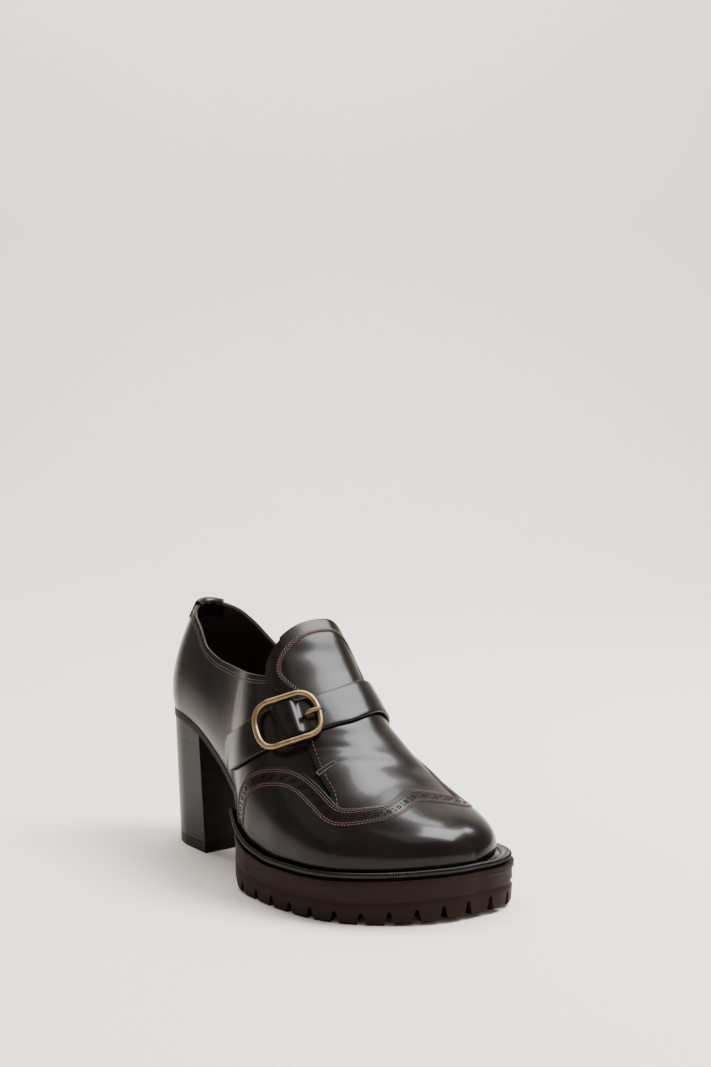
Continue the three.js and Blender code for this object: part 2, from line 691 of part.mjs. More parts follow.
const PRONG_ROOT = 9.4;
const prongPath = () =>
  [[PRONG_ROOT, VAMP_TOP + 1.9], [PRONG_ROOT + 0.2, STRAP_TOP + 0.6], [PRONG_ROOT + 1.6, RING_LIFT + 0.6], [PRONG_ROOT + 4.6, RING_LIFT + 2.5], [RING_LENGTH / 2 - 0.4, RING_LIFT + RING_WIRE / 2 + 1.5]].map(
    ([x, lift]) => onRing(x, 0, lift),
  );
const makeProng = () => tube(prongPath(), (share) => 1.35 - 0.35 * share, false, 6);
const makeHole = () => tube([onRing(PRONG_ROOT, 0, -2), onRing(PRONG_ROOT + 0.3, 0, RING_LIFT + 3)], 1.9, false, 8);

// Solids between lateral and medial rails, level by level, with flat rungs closing the first and last
function ladderSolid(levels) {
  const count = levels[0].left.length;
  const size = 2 * count;
  const points = levels.flatMap(({ left, right }) => [...left, ...right.slice().reverse()]);
  const faces = [];
  for (let k = 0; k + 1 < levels.length; k++)
    for (let i = 0; i < size; i++) {
      const next = (i + 1) % size;
      faces.push([k * size + i, k * size + next, (k + 1) * size + next, (k + 1) * size + i]);
    }
  const top = (levels.length - 1) * size;
  for (let i = 0; i + 1 < count; i++) {
    faces.push([i, size - 1 - i, size - 2 - i, i + 1]);
    faces.push([top + i, top + i + 1, top + size - 2 - i, top + size - 1 - i]);
  }
  return solidOf(points, faces);
}

// A point of the bottom edge moved outwards in plan, at a height that depends on where it ends up along;
// a margin beyond the upper is wider where the edge faces the medial side
function rim(t, side, reach, height) {
  const [along, across] = edge(t, side);
  const [na, nu] = outward(t, side);
  const margin = reach > 1 ? reach * (1 + Math.max(0, nu) * (MEDIAL_MORE + CORNER_MORE * Math.max(0, na))) : reach;
  return [along + na * margin, across + nu * margin, height(along + na * margin)];
}
const rails = (list, margin, height) => ({
  left: list.map((t) => rim(t, -1, margin(t), (along) => height(along, t))),
  right: list.map((t) => rim(t, 1, margin(t), (along) => height(along, t))),
});

// Everything under the seat's curve, or over it, shifted up by a distance
function seatBlock(shift, far) {
  const outline = [[-20, far]];
  for (let along = -20; along <= UPPER_LENGTH + 20; along += 5) outline.push([along, seatHeight(along) + shift]);
  outline.push([UPPER_LENGTH + 20, far]);
  return sideBlock(outline, -CUT_HALF_WIDTH, CUT_HALF_WIDTH);
}
const FLOOR_BELOW = -60;

const under = curves(UNDER_COLUMNS, UNDER_ROWS);
const heelStations = () => {
  const list = [];
  for (let i = 0; i < 8; i++) list.push(i / 8);
  for (let i = 0; i <= 3; i++) list.push(stationOf(HEEL_ROUND + ((BREAST_TOP - HEEL_ROUND) * i) / 3));
  return list;
};
const MIDDLE_MARKS = [0.26, 0.32, 0.37, 0.42, 0.45, WELT_END - 0.008, WELT_END - 0.004, WELT_END];
const FORE_MARKS = [0.505, 0.53, 0.555, 0.58, 0.62, 0.66, 0.7, 0.73];
const soleStations = () => {
  const list = heelStations();
  [...MIDDLE_MARKS, ...FORE_MARKS].forEach((at) => list.push(stationOf(at * UPPER_LENGTH)));
  for (let i = 0; i <= 14; i++) list.push(2 + i / 14);
  return list;
};
const alongOf = (t) => station(t).along;
const welted = (t) => (alongOf(t) / UPPER_LENGTH > WELT_END - 0.006 ? 1 : 0);
const platform = (t) => ease((alongOf(t) / UPPER_LENGTH - 0.43) / 0.13);
const seatUnder = (along) => seatHeight(along) - GAP - SEAT_LAYER;
function soleUnder(along) {
  const at = along / UPPER_LENGTH;
  return at < 0.38 ? seatUnder(along) : Math.min(seatUnder(along), SEAT_HEIGHT * under.rise(at) + 60 * ease((0.42 - at) / 0.04));
}

function makeOutsole() {
  const list = soleStations();
  const top = (along, t) => seatHeight(along) - GAP - (welted(t) ? WELT_HEIGHT + GAP : -2);
  const levels = WALL_ROWS.map(([height, reach]) => {
    const margin = (t) => 0.3 + platform(t) * (reach * SOLE_MARGIN - 0.3);
    return rails(list, margin, (along, t) => {
      const low = soleUnder(alongOf(t));
      return low + (top(along, t) - low) * height;
    });
  });
  levels.push(rails(list, () => -3.4, top));
  levels.push(rails(list, () => -3.5, (along) => seatHeight(along) + 2));
  return cutLugs(ladderSolid(levels).intersect(seatBlock(-GAP, FLOOR_BELOW)));
}

// A block in shoe coordinates from a centre, plan direction, half sizes and heights; it may narrow upwards
function groove([along, across], [da, dc], length, foot, head, height) {
  const [sa, sc] = [-dc, da];
  const corner = (l, w, up) => [along + l * da + w * sa, across + l * dc + w * sc, up];
  const points = [[-2, foot * 1.3], [height, head]].flatMap(([up, wide]) => [
    corner(0, -wide / 2, up), corner(length, -wide / 2, up), corner(length, wide / 2, up), corner(0, wide / 2, up),
  ]);
  return solidOf(points, [[0, 1, 2, 3], [4, 7, 6, 5], [0, 4, 5, 1], [1, 5, 6, 2], [2, 6, 7, 3], [3, 7, 4, 0]]);
}

function cutLugs(sole) {
  const cutters = [];
  for (const side of [-1, 1]) {
    let run = LUG_PITCH / 2;
    for (let t = 3; alongOf(t) > 0.56 * UPPER_LENGTH; t -= 0.002) {
      const [a, b] = [rim(t, side, SOLE_MARGIN, () => 0), rim(t - 0.002, side, SOLE_MARGIN, () => 0)];
      run += Math.hypot(b[0] - a[0], b[1] - a[1]);
      if (run < LUG_PITCH) continue;
      run -= LUG_PITCH;
      const [na, nc] = outward(t, side);
      const lift = soleUnder(a[0]);
      const from = rim(t, side, SOLE_MARGIN + 3, () => 0);
      cutters.push(groove(from, [-na, -nc], NOTCH_REACH + 3, NOTCH_FOOT, NOTCH_TOP, NOTCH_HEIGHT + lift));
    }
  }
  // the inner row: cross grooves between the two rows of outer lugs
  for (let k = 0; k < 6; k++) {
    const along = 0.585 * UPPER_LENGTH + k * LUG_PITCH;
    const t = along < UPPER_LENGTH - TOE_ROUND ? stationOf(along) : 3 - (2 / Math.PI) * Math.acos((along - UPPER_LENGTH + TOE_ROUND) / TOE_ROUND);
    const [l, m] = [edge(t, -1)[1] + 14, edge(t, 1)[1] - 14];
    if (m - l > 12) cutters.push(groove([along, l], [0, 1], m - l, 4.4, 3.2, 4.6));
  }
  return cutters.reduce((body, cutter) => body.subtract(cutter), sole);
}

// The beaded welt round the forefoot: reach is beyond the upper's edge, rise above it
const WELT_COLUMNS = ["reach", "rise"];
const WELT_ROWS = [
  [-3, -3.5],
  [4.8, -3.5],
  [5.5, -2.7],
  [5.6, -1.2],
  [5.1, 0.1],
  [4.2, 0.6],
  [3.3, 0.4],
  [2.8, -0.3],
  [-3, -0.3],
];
function makeWelt() {
  const list = soleStations().filter((t) => alongOf(t) / UPPER_LENGTH > WELT_END - 0.002);
  const spots = [...list.map((t) => [t, -1]), ...list.slice(0, -1).reverse().map((t) => [t, 1])];
  const columns = WELT_ROWS.length;
  const points = spots.flatMap(([t, side]) =>
    WELT_ROWS.map(([reach, rise]) => rim(t, side, reach, (along) => seatHeight(along) + rise)),
  );
  const faces = [];
  for (let i = 0; i + 1 < spots.length; i++)
    for (let j = 0; j < columns; j++) {
      const [a, b] = [i * columns + j, i * columns + ((j + 1) % columns)];
      faces.push([a, b, b + columns, a + columns]);
    }
  const caps = THREE.ShapeUtils.triangulateShape(WELT_ROWS.map(([x, y]) => new THREE.Vector2(x, y)), []);
  const end = (spots.length - 1) * columns;
  caps.forEach((f) => faces.push(f.slice().reverse(), f.map((k) => k + end)));
  return solidOf(points, faces);
}

// The heel from the ground up: the top's outline follows the seat, the ground face is a shorter D
function heelSlice(list, up) {
  const rail = (side) =>
    list.map((t) => {
      const [along, across] = rim(t, side, -0.2, () => 0);
      const high = seatUnder(along) - GAP;
      const share = typeof up === "number" ? up / high : 1;
      const low = [HEEL_BACK_LOW + (along * (BREAST_LOW - HEEL_BACK_LOW)) / BREAST_TOP, across * HEEL_NARROW];
      const here = typeof up === "number" ? up : high;
      return [low[0] + (along - low[0]) * share, low[1] + (across - low[1]) * share, here];
    });
  return { left: rail(-1), right: rail(1) };
}
const makeHeel = () => ladderSolid([heelSlice(heelStations(), TIP_HEIGHT), heelSlice(heelStations())]);
const makeTip = () => ladderSolid([heelSlice(heelStations(), 0), heelSlice(heelStations(), TIP_HEIGHT - GAP)]);

function makeInsole() {
  const list = soleStations();
  const level = (rise) => rails(list, () => -UPPER_WALL - 1.2, (along) => seatHeight(along) + rise);
  return ladderSolid([level(-2), level(INSOLE_THICK)]).intersect(seatBlock(0, CUT_TOP));
}

// The girth share where the surface passes a height
function girthAt(t, side, up) {
  let [low, high] = [0, 1];
  for (let i = 0; i < 30; i++) {
    const middle = (low + high) / 2;
    if (lastPoint(t, side * middle)[2] > up) low = middle;
    else high = middle;
  }
  return side * low;
}

// The tab folded over the collar at the heel back
const TAB_HALF = 0.5; // station share round the heel each way
const TAB_THICK = 0.9;
const TAB_GAP = 0.5;
const TAB_OUT = 15;
const TAB_IN = 8;
function makeTab() {
  const spots = [];
  for (let i = -6; i <= 6; i++) spots.push([(Math.abs(i) / 6) * TAB_HALF, i < 0 ? -1 : 1, i]);
  const grid = (extra) =>
    spots.flatMap(([t, side, i]) => {
      const rimUp = collarHeight(lastPoint(t, side * 0.6)[0]);
      const drop = TAB_OUT * (1 - 0.45 * (i / 6) ** 2);
      const at = (up, lift, shift) => {
        const q = girthAt(t, side, up);
        const p = skin(t, q, lift);
        return [p[0], p[1], p[2] + shift];
      };
      return [
        at(rimUp - drop, TAB_GAP + extra, 0),
        at(rimUp - drop / 2, TAB_GAP + extra, 0),
        at(rimUp, TAB_GAP + extra, TAB_GAP + extra),
        at(rimUp, -UPPER_WALL - TAB_GAP - extra, TAB_GAP + extra),
        at(rimUp - TAB_IN, -UPPER_WALL - TAB_GAP - extra, 0),
      ];
    });
  return sheetSolid(grid(0), grid(TAB_THICK), spots.length, 5);
}

function meshOf(name, solid, finish) {
  const data = solid.getMesh();
  const stride = data.numProp;
  const positions = new Float32Array(data.numVert * 3);
  for (let i = 0; i < data.numVert; i++)
    positions.set(data.vertProperties.subarray(i * stride, i * stride + 3), i * 3);
  const geometry = new THREE.BufferGeometry();
  geometry.setAttribute("position", new THREE.BufferAttribute(positions, 3));
  geometry.setIndex(new THREE.BufferAttribute(new Uint32Array(data.triVerts), 1));
  const mesh = new THREE.Mesh(geometry, finish);
  mesh.name = name;
  return mesh;
}

const finish = (color, roughness, metalness = 0) =>
  new THREE.MeshStandardMaterial({ color, roughness, metalness });
const glossLeather = finish(0x17110f, 0.2);
const edgeLeather = finish(0x2a1d18, 0.5);
const rubber = finish(0x3a2c27, 0.65);
const stacked = finish(0x3d342f, 0.45);
const brass = finish(0x9c8658, 0.35, 1);

const outer = form(0, 3);
const nearLayer = form(GAP, 6);
const shoe = new THREE.Group();
shoe.add(meshOf("outsole", makeOutsole(), rubber));
shoe.add(meshOf("welt", makeWelt(), glossLeather));
shoe.add(meshOf("heel", makeHeel(), stacked));
shoe.add(meshOf("heel_tip", makeTip(), rubber));
shoe.add(meshOf("insole", makeInsole(), edgeLeather));
shoe.add(meshOf("upper", makeUpper(outer), glossLeather));
shoe.add(meshOf("vamp", makeVamp(nearLayer), glossLeather));
shoe.add(meshOf("wing_cap", makeWingCap(nearLayer), glossLeather));
shoe.add(meshOf("strap", makeStrap(makeHole()), glossLeather));
shoe.add(meshOf("buckle", makeBuckle(), brass));
shoe.add(meshOf("prong", makeProng(), brass));
shoe.add(meshOf("back_tab", makeTab(), glossLeather));

export default shoe;
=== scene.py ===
import math

import bpy
import numpy as np
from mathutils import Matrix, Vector


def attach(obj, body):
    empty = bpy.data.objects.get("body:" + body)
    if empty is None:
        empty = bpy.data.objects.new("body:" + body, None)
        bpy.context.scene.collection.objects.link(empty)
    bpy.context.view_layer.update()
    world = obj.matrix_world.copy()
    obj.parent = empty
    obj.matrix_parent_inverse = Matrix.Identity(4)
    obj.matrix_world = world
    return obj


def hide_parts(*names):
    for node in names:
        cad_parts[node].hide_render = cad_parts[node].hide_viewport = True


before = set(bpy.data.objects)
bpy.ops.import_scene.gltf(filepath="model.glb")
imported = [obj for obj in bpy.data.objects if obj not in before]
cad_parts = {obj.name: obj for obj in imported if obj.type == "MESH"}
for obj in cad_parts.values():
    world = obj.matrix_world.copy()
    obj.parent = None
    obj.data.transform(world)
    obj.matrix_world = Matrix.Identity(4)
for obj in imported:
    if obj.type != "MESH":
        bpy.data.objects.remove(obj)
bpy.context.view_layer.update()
MM = 0.001

# The camera stands where the photograph's did: a little above the collar, in front of the shoe and to
# its lateral side, level but for a slight look downwards. The lens is for the frame's tall side.
CAMERA_AT = (-426.84, -688.91, 221.1)
CAMERA_PAN = -37.41
CAMERA_DOWN = 2.57
PHOTO_TALL = 1067
FOCAL_PIXELS = 1342.94
camera = bpy.data.objects.new("camera", bpy.data.cameras.new("camera"))
camera.data.sensor_fit = "AUTO"
camera.data.sensor_width = 36
camera.data.lens = FOCAL_PIXELS / PHOTO_TALL * camera.data.sensor_width
camera.data.clip_start = 0.01
camera.location = [v * MM for v in CAMERA_AT]
camera.rotation_euler = (math.radians(90 - CAMERA_DOWN), 0, math.radians(CAMERA_PAN))
bpy.context.scene.collection.objects.link(camera)
bpy.context.scene.camera = camera

# The quarters: one lasted wall of leather with its lining, open at the collar and underneath. It is
# pulled over the last, so every leather piece here starts from the last's own surface. Its outside is
# polished near-black leather, its inside a dark brown lining, and its top edge is folded over.
UPPER_LENGTH = 230
BALL_WIDTH = 94
SEAT_HEIGHT = 81
FOREFOOT_HEIGHT = 24.5
CROWN_HEIGHT = 100
HEEL_ROUND = 31
TOE_ROUND = 56
TOE_PLAN_SQUARE = 2.15
TOE_SIDE_SQUARE = 2.5
BELLY_HEIGHT = 24
LEAN_HEIGHT = 66
RIDGE_ROUND = 0.3
ORIGIN_AT = 33
MIDDLE = UPPER_LENGTH - HEEL_ROUND - TOE_ROUND
LAST_COLUMNS = ["at", "centre", "out", "in", "seat", "crown", "square", "belly", "lean"]
LAST_ROWS = [
    [0.0, 0.0, 0.28, 0.28, 1.0, 1.2, 4.5, 0.02, 0.175],
    [0.11, 0.0, 0.298, 0.296, 0.985, 1.2, 4.5, 0.028, 0.175],
    [0.21, 0.0, 0.306, 0.3, 0.89, 1.2, 4.2, 0.033, 0.155],
    [0.32, 0.0, 0.315, 0.28, 0.66, 1.2, 3.6, 0.035, 0.1],
    [0.41, 0.05, 0.39, 0.25, 0.42, 1.2, 3.0, 0.033, 0.045],
    [0.47, 0.1, 0.495, 0.25, 0.26, 1.13, 2.7, 0.032, 0.012],
    [0.535, 0.12, 0.575, 0.255, 0.12, 1.005, 2.55, 0.03, 0.0],
    [0.6, 0.12, 0.6, 0.285, 0.04, 0.84, 2.4, 0.03, 0.0],
    [0.675, 0.11, 0.59, 0.35, 0.0, 0.665, 2.2, 0.03, 0.0],
    [0.75, 0.13, 0.59, 0.385, 0.0, 0.49, 2.15, 0.03, 0.0],
    [0.835, 0.165, 0.585, 0.41, 0.005, 0.332, 2.25, 0.028, 0.0],
    [0.92, 0.21, 0.56, 0.41, 0.02, 0.266, 2.3, 0.026, 0.0],
    [1.0, 0.24, 0.52, 0.425, 0.045, 0.245, 2.3, 0.024, 0.0],
]
COLLAR_BACK = 64
COLLAR_ROWS = [
    [-0.06, 1.02],
    [0.02, 1.0],
    [0.08, 0.94],
    [0.16, 0.79],
    [0.235, 0.6],
    [0.32, 0.51],
    [0.42, 0.48],
    [0.52, 0.48],
    [0.62, 0.48],
]
UPPER_WALL = 2.2
GAP = 0.3


def smooth_through(xs, ys):
    """A function through the points: cubic pieces whose slopes are harmonic means, so it never overshoots."""
    xs, ys = np.asarray(xs, float), np.asarray(ys, float)
    step = np.diff(xs)
    slope = np.diff(ys) / step
    tangent = np.zeros(len(xs))
    tangent[0], tangent[-1] = slope[0], slope[-1]
    a, b = slope[:-1], slope[1:]
    wa, wb = step[1:], step[:-1]
    same = a * b > 0
    safe_a, safe_b = np.where(same, a, 1), np.where(same, b, 1)
    mean = 3 * (wa + wb) / ((2 * wa + wb) / safe_b + (wa + 2 * wb) / safe_a)
    tangent[1:-1] = np.where(same, mean, 0)

    def at(x):
        """The curve's value at each x, held at its end values outside the table."""
        x = np.clip(np.asarray(x, float), xs[0], xs[-1])
        i = np.clip(np.searchsorted(xs, x, side="right") - 1, 0, len(xs) - 2)
        h = step[i]
        t = (x - xs[i]) / h
        return (
            (2 * t**3 - 3 * t**2 + 1) * ys[i]
            + (t**3 - 2 * t**2 + t) * h * tangent[i]
            + (3 * t**2 - 2 * t**3) * ys[i + 1]
            + (t**3 - t**2) * h * tangent[i + 1]
        )

    return at


last_table = np.array(LAST_ROWS)
last = {name: smooth_through(last_table[:, 0], last_table[:, k]) for k, name in enumerate(LAST_COLUMNS)}
collar_rise = smooth_through(*np.array(COLLAR_ROWS).T)


def seat_height(along):
    """The bottom edge's height: the forefoot's plus a share of the rise to the heel seat."""
    return FOREFOOT_HEIGHT + (SEAT_HEIGHT - FOREFOOT_HEIGHT) * last["seat"](along / UPPER_LENGTH)


def superellipse(angle, power):
    """The point of the unit superellipse of a power at an angle: cosine and sine over their power mean."""
    c = np.maximum(np.cos(angle), 0)
    s = np.maximum(np.sin(angle), 0)
    radius = (c**power + s**power) ** (-1 / power)
    return c * radius, s * radius


def station(t):
    """Along, width share and height share: a circle round the heel, a line, a superellipse at the toe."""
    t = np.asarray(t, float)
    x, y = superellipse(np.clip(t, 0, 1) * math.pi / 2, 2)
    heel = HEEL_ROUND * (1 - x)
    u, v = superellipse((3 - np.clip(t, 2, 3)) * math.pi / 2, TOE_PLAN_SQUARE)
    low = np.maximum(1 - u**TOE_SIDE_SQUARE, 0) ** (1 / TOE_SIDE_SQUARE)
    middle = HEEL_ROUND + (t - 1) * MIDDLE
    toe = UPPER_LENGTH - TOE_ROUND * (1 - u)
    along = np.where(t <= 1, heel, np.where(t <= 2, middle, toe))
    return along, np.where(t <= 1, y, np.where(t <= 2, 1, v)), np.where(t <= 2, 1, low)


def station_of(along):
    """The station in the middle stretch at a distance along."""
    return 1 + (np.asarray(along, float) - HEEL_ROUND) / MIDDLE


def edge(t, side):
    """The bottom edge in plan: the middle line's shift plus the half-width of that side."""
    along, narrow, _ = station(t)
    at = along / UPPER_LENGTH
    half = np.where(np.asarray(side) < 0, last["out"](at), last["in"](at))
    return along, BALL_WIDTH * (last["centre"](at) + side * half * narrow)


def outward(t, side):
    """The bottom edge's outward direction in plan, by differences that carry on past both ends."""
    t = np.asarray(t, float)
    step = 0.01
    low, high = t < step, t > 3 - step
    ba, bc = edge(np.where(low, step - t, t - step), np.where(low, -side, side))
    aa, ac = edge(np.where(high, 6 - t - step, t + step), np.where(high, -side, side))
    da, dc = aa - ba, ac - bc
    length = np.hypot(da, dc)
    return -side * dc / length, side * da / length


def half_section(t, side, shares):
    """Half of each section at girth shares: a superellipse arc pushed out by a belly and in by a lean."""
    angle = np.linspace(0, math.pi / 2, 181)[None, :]
    along, narrow, low = (v[:, None] for v in station(t))
    at = along / UPPER_LENGTH
    half = BALL_WIDTH * (last["out"](at) if side < 0 else last["in"](at)) * narrow
    crown = CROWN_HEIGHT * last["crown"](at) * low
    c, h = superellipse(angle, last["square"](at))
    up = crown * h
    k = up / BELLY_HEIGHT
    belly, lean = BALL_WIDTH * last["belly"](at), BALL_WIDTH * last["lean"](at)
    push = (belly * k * np.exp(1 - k) - lean * (up / LEAN_HEIGHT) ** 2) * c
    na, nc = (v[:, None] for v in outward(t, side))
    rounded = push * c * (1 + RIDGE_ROUND) / (RIDGE_ROUND + c)
    points = np.stack(
        [
            along + na * rounded,
            BALL_WIDTH * last["centre"](at) + side * half * c + nc * push,
            seat_height(along) + up,
        ],
        axis=-1,
    )
    steps = np.linalg.norm(np.diff(points, axis=1), axis=2)
    run = np.concatenate([np.zeros((len(t), 1)), np.cumsum(steps, axis=1)], axis=1)
    total = run[:, -1:]
    made = np.empty((len(t), len(shares), 3))
    for i in range(len(t)):
        want = (1 - shares) * max(total[i, 0], 1e-9)
        for k in range(3):
            made[i, :, k] = np.interp(want, run[i], points[i, :, k])
    return made


STATION_STEP = 0.005
GIRTH_STEP = 1 / 150
GHOSTS = 6
station_list = np.arange(0, 601) * STATION_STEP
share_list = np.arange(0, 151) * GIRTH_STEP
lateral_half = half_section(station_list, -1, share_list)
medial_half = half_section(station_list, 1, share_list)
last_grid = np.concatenate([lateral_half[:, :0:-1], medial_half], axis=1)
last_grid = np.concatenate([last_grid[GHOSTS:0:-1, ::-1], last_grid, last_grid[-1:].repeat(GHOSTS, 0)])


def grid_normals(points):
    """Outward unit normals: the cross product of the differences along and round the grid."""
    along = np.gradient(points, axis=0)
    around = np.gradient(points, axis=1)
    normal = np.cross(along, around)
    length = np.linalg.norm(normal, axis=2, keepdims=True)
    return np.where(length > 1e-7, normal / np.maximum(length, 1e-7), [1.0, 0, 0])


normal_grid = grid_normals(last_grid)
normal_grid[-GHOSTS - 1 :] = [1.0, 0, 0]


def read_grid(grid, t, q):
    """A grid's value at stations and girths, straight between its four nearest points."""
    x = np.clip(np.asarray(t, float) / STATION_STEP + GHOSTS, 0, grid.shape[0] - 1.001)
    y = np.clip((np.asarray(q, float) + 1) / GIRTH_STEP, 0, grid.shape[1] - 1.001)
    i, j = x.astype(int), y.astype(int)
    u, v = (x - i)[..., None], (y - j)[..., None]
    near = grid[i, j] * (1 - v) + grid[i, j + 1] * v
    far = grid[i + 1, j] * (1 - v) + grid[i + 1, j + 1] * v
    return near * (1 - u) + far * u


def skin(t, q, lift=0.0):
    """A point of the last moved off it by a lift along its normal."""
    normal = read_grid(normal_grid, t, q)
    normal /= np.maximum(np.linalg.norm(normal, axis=-1, keepdims=True), 1e-9)
    return read_grid(last_grid, t, q) + normal * np.asarray(lift, float)[..., None]


def settle(target, t, q):
    """The station and girth nearest to each target point, by a few least-squares steps."""
    t, q = np.array(t, float), np.array(q, float)
    d = 0.01
    for _ in range(8):
        here = read_grid(last_grid, t, q)
        along = (read_grid(last_grid, t + d, q) - read_grid(last_grid, t - d, q)) / (2 * d)
        around = (read_grid(last_grid, t, q + d) - read_grid(last_grid, t, q - d)) / (2 * d)
        miss = target - here
        a, b, c = (along * along).sum(-1), (along * around).sum(-1), (around * around).sum(-1)
        e, f = (along * miss).sum(-1), (around * miss).sum(-1)
        det = np.maximum(a * c - b * b, 1e-6)
        t = np.clip(t + np.clip((e * c - f * b) / det, -0.1, 0.1), -0.02, 2.999)
        q = np.clip(q + np.clip((a * f - b * e) / det, -0.1, 0.1), -1, 1)
    return t, q


def to_frame(points):
    """From [along, across, up] in millimetres to the part's frame in metres."""
    return np.stack([points[..., 1], ORIGIN_AT - points[..., 0], points[..., 2]], axis=-1) * MM


def grid_faces(rows, columns, closed=False):
    """The quads of a grid of points numbered row by row, closed round its columns or not."""
    i = np.arange(rows - 1)[:, None]
    j = np.arange(columns if closed else columns - 1)[None, :]
    k = (j + 1) % columns
    here, ahead = i * columns, (i + 1) * columns
    return np.stack([here + j, ahead + j, ahead + k, here + k], axis=-1).reshape(-1, 4)


def capped_faces(rows, columns):
    """The quads of a grid closed round its columns, with one face over each of its two ends."""
    last_row = (rows - 1) * columns
    ends = [list(range(columns)), list(range(last_row, last_row + columns))[::-1]]
    return grid_faces(rows, columns, closed=True).tolist() + ends


def piece(name, points, faces, material, replaces=None, smooth=60, weld=0.00002, values=None):
    """A mesh from points in metres, its doubles merged and its faces turned outwards, riding on the shoe."""
    mesh = bpy.data.meshes.new(name)
    face_list = faces if isinstance(faces, list) else faces.tolist()
    mesh.from_pydata(np.asarray(points).reshape(-1, 3).tolist(), [], face_list)
    for key, data in (values or {}).items():
        layer = mesh.attributes.new(key, "FLOAT", "POINT")
        layer.data.foreach_set("value", np.asarray(data, np.float32).ravel())
    made = bpy.data.objects.new(name, mesh)
    bpy.context.scene.collection.objects.link(made)
    bpy.ops.object.select_all(action="DESELECT")
    bpy.context.view_layer.objects.active = made
    made.select_set(True)
    bpy.ops.object.mode_set(mode="EDIT")
    bpy.ops.mesh.select_all(action="SELECT")
    bpy.ops.mesh.remove_doubles(threshold=weld)
    bpy.ops.mesh.dissolve_degenerate(threshold=weld / 2)
    bpy.ops.mesh.select_all(action="SELECT")
    bpy.ops.mesh.normals_make_consistent(inside=False)
    bpy.ops.object.mode_set(mode="OBJECT")
    bpy.ops.object.shade_smooth_by_angle(angle=math.radians(smooth))
    made.select_set(False)
    mesh.materials.append(material)
    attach(made, "root")
    if replaces:
        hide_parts(*replaces)
    return made


def linear(hex_colour):
    """A colour in linear light from its sRGB hex value."""
    channels = [int(hex_colour[k : k + 2], 16) / 255 for k in (1, 3, 5)]
    return [c / 12.92 if c <= 0.04045 else ((c + 0.055) / 1.055) ** 2.4 for c in channels] + [1.0]


def node(tree, kind, settings=None, links=None):
    """Adds a node, sets its inputs and properties, and links its inputs from other nodes' outputs."""
    made = tree.nodes.new(kind)
    for key, value in (settings or {}).items():
        if isinstance(key, str) and key.startswith("."):
            setattr(made, key[1:], value)
        else:
            made.inputs[key].default_value = value
    for key, source in (links or {}).items():
        tree.links.new(source, made.inputs[key])
    return made


def start(name):
    """A new material with its tree, its coordinates and its shader."""
    material = bpy.data.materials.new(name)
    material.use_nodes = True
    tree = material.node_tree
    return material, tree, node(tree, "ShaderNodeTexCoord").outputs["Object"], tree.nodes["Principled BSDF"]


def mottled(tree, place, scale, detail, deep, warm):
    """A cloud of noise and the colour that it blends from a deep tone to a warm one."""
    cloud = node(tree, "ShaderNodeTexNoise", {"Scale": scale, "Detail": detail}, {"Vector": place})
    tones = {".data_type": "RGBA", 6: linear(deep), 7: linear(warm)}
    tone = node(tree, "ShaderNodeMix", tones, {0: cloud.outputs["Fac"]})
    return cloud.outputs["Fac"], tone.outputs[2]


def dress(shader, values, links):
    """Sets a shader's own values and links its inputs from other nodes' outputs."""
    for key, value in values.items():
        shader.inputs[key].default_value = value
    for key, source in links.items():
        shader.id_data.links.new(source, shader.inputs[key])


# Corrected-grain calf leather, dyed near-black brown, waxed and polished: a thin gloss over a fine grain
# about 0.7 mm across, with the brown showing faintly where the polish thins.
def polished_leather(name, deep="#080504", warm="#140c0a", rough=0.22, coat=0.06, grain=0.03):
    """Polished leather: mottled dye, slow waves under a fine grain with pores, and a thin wax coat."""
    material, tree, place, shader = start(name)
    cloud, tone = mottled(tree, place, 45.0, 4.0, deep, warm)
    cells = {"Scale": 1400.0, ".feature": "DISTANCE_TO_EDGE"}
    pores = node(tree, "ShaderNodeTexVoronoi", cells, {"Vector": place}).outputs["Distance"]
    fine = node(tree, "ShaderNodeTexNoise", {"Scale": 900.0, "Detail": 3.0}, {"Vector": place})
    sway = node(tree, "ShaderNodeTexNoise", {"Scale": 60.0, "Detail": 2.0}, {"Vector": place})
    waves = {"Strength": 0.08, "Distance": 0.0012}
    low = node(tree, "ShaderNodeBump", waves, {"Height": sway.outputs["Fac"]}).outputs[0]
    coarse = {"Strength": grain, "Distance": 0.0003}
    mid = node(tree, "ShaderNodeBump", coarse, {"Height": fine.outputs["Fac"], "Normal": low}).outputs[0]
    shallow = {"Strength": grain, "Distance": 0.0002}
    top = node(tree, "ShaderNodeBump", shallow, {"Height": pores, "Normal": mid}).outputs[0]
    gloss = node(tree, "ShaderNodeMapRange", {3: rough - 0.05, 4: rough + 0.12}, {0: cloud}).outputs[0]
    polish = {"IOR": 1.36, "Specular IOR Level": 0.24, "Coat Weight": coat, "Coat Roughness": 0.08}
    dress(shader, polish, {"Base Color": tone, "Roughness": gloss, "Normal": top, "Coat Normal": low})
    return material


def matt_leather(name, deep, warm, rough=0.6, shine=0.5):
    """Unpolished leather: mottled dye and a fine grain."""
    material, tree, place, shader = start(name)
    _, tone = mottled(tree, place, 60.0, 5.0, deep, warm)
    fine = node(tree, "ShaderNodeTexNoise", {"Scale": 700.0, "Detail": 4.0}, {"Vector": place})
    nap = {"Strength": 0.3, "Distance": 0.0003}
    top = node(tree, "ShaderNodeBump", nap, {"Height": fine.outputs["Fac"]}).outputs[0]
    feel = {"Roughness": rough, "IOR": 1.45, "Specular IOR Level": shine}
    dress(shader, feel, {"Base Color": tone, "Normal": top})
    return material


leather = polished_leather("polished calf leather")
cap_leather = polished_leather("polished calf leather of the cap", rough=0.19, coat=0.08)
lining = matt_leather("pigskin lining", "#1c110d", "#2e1c16")


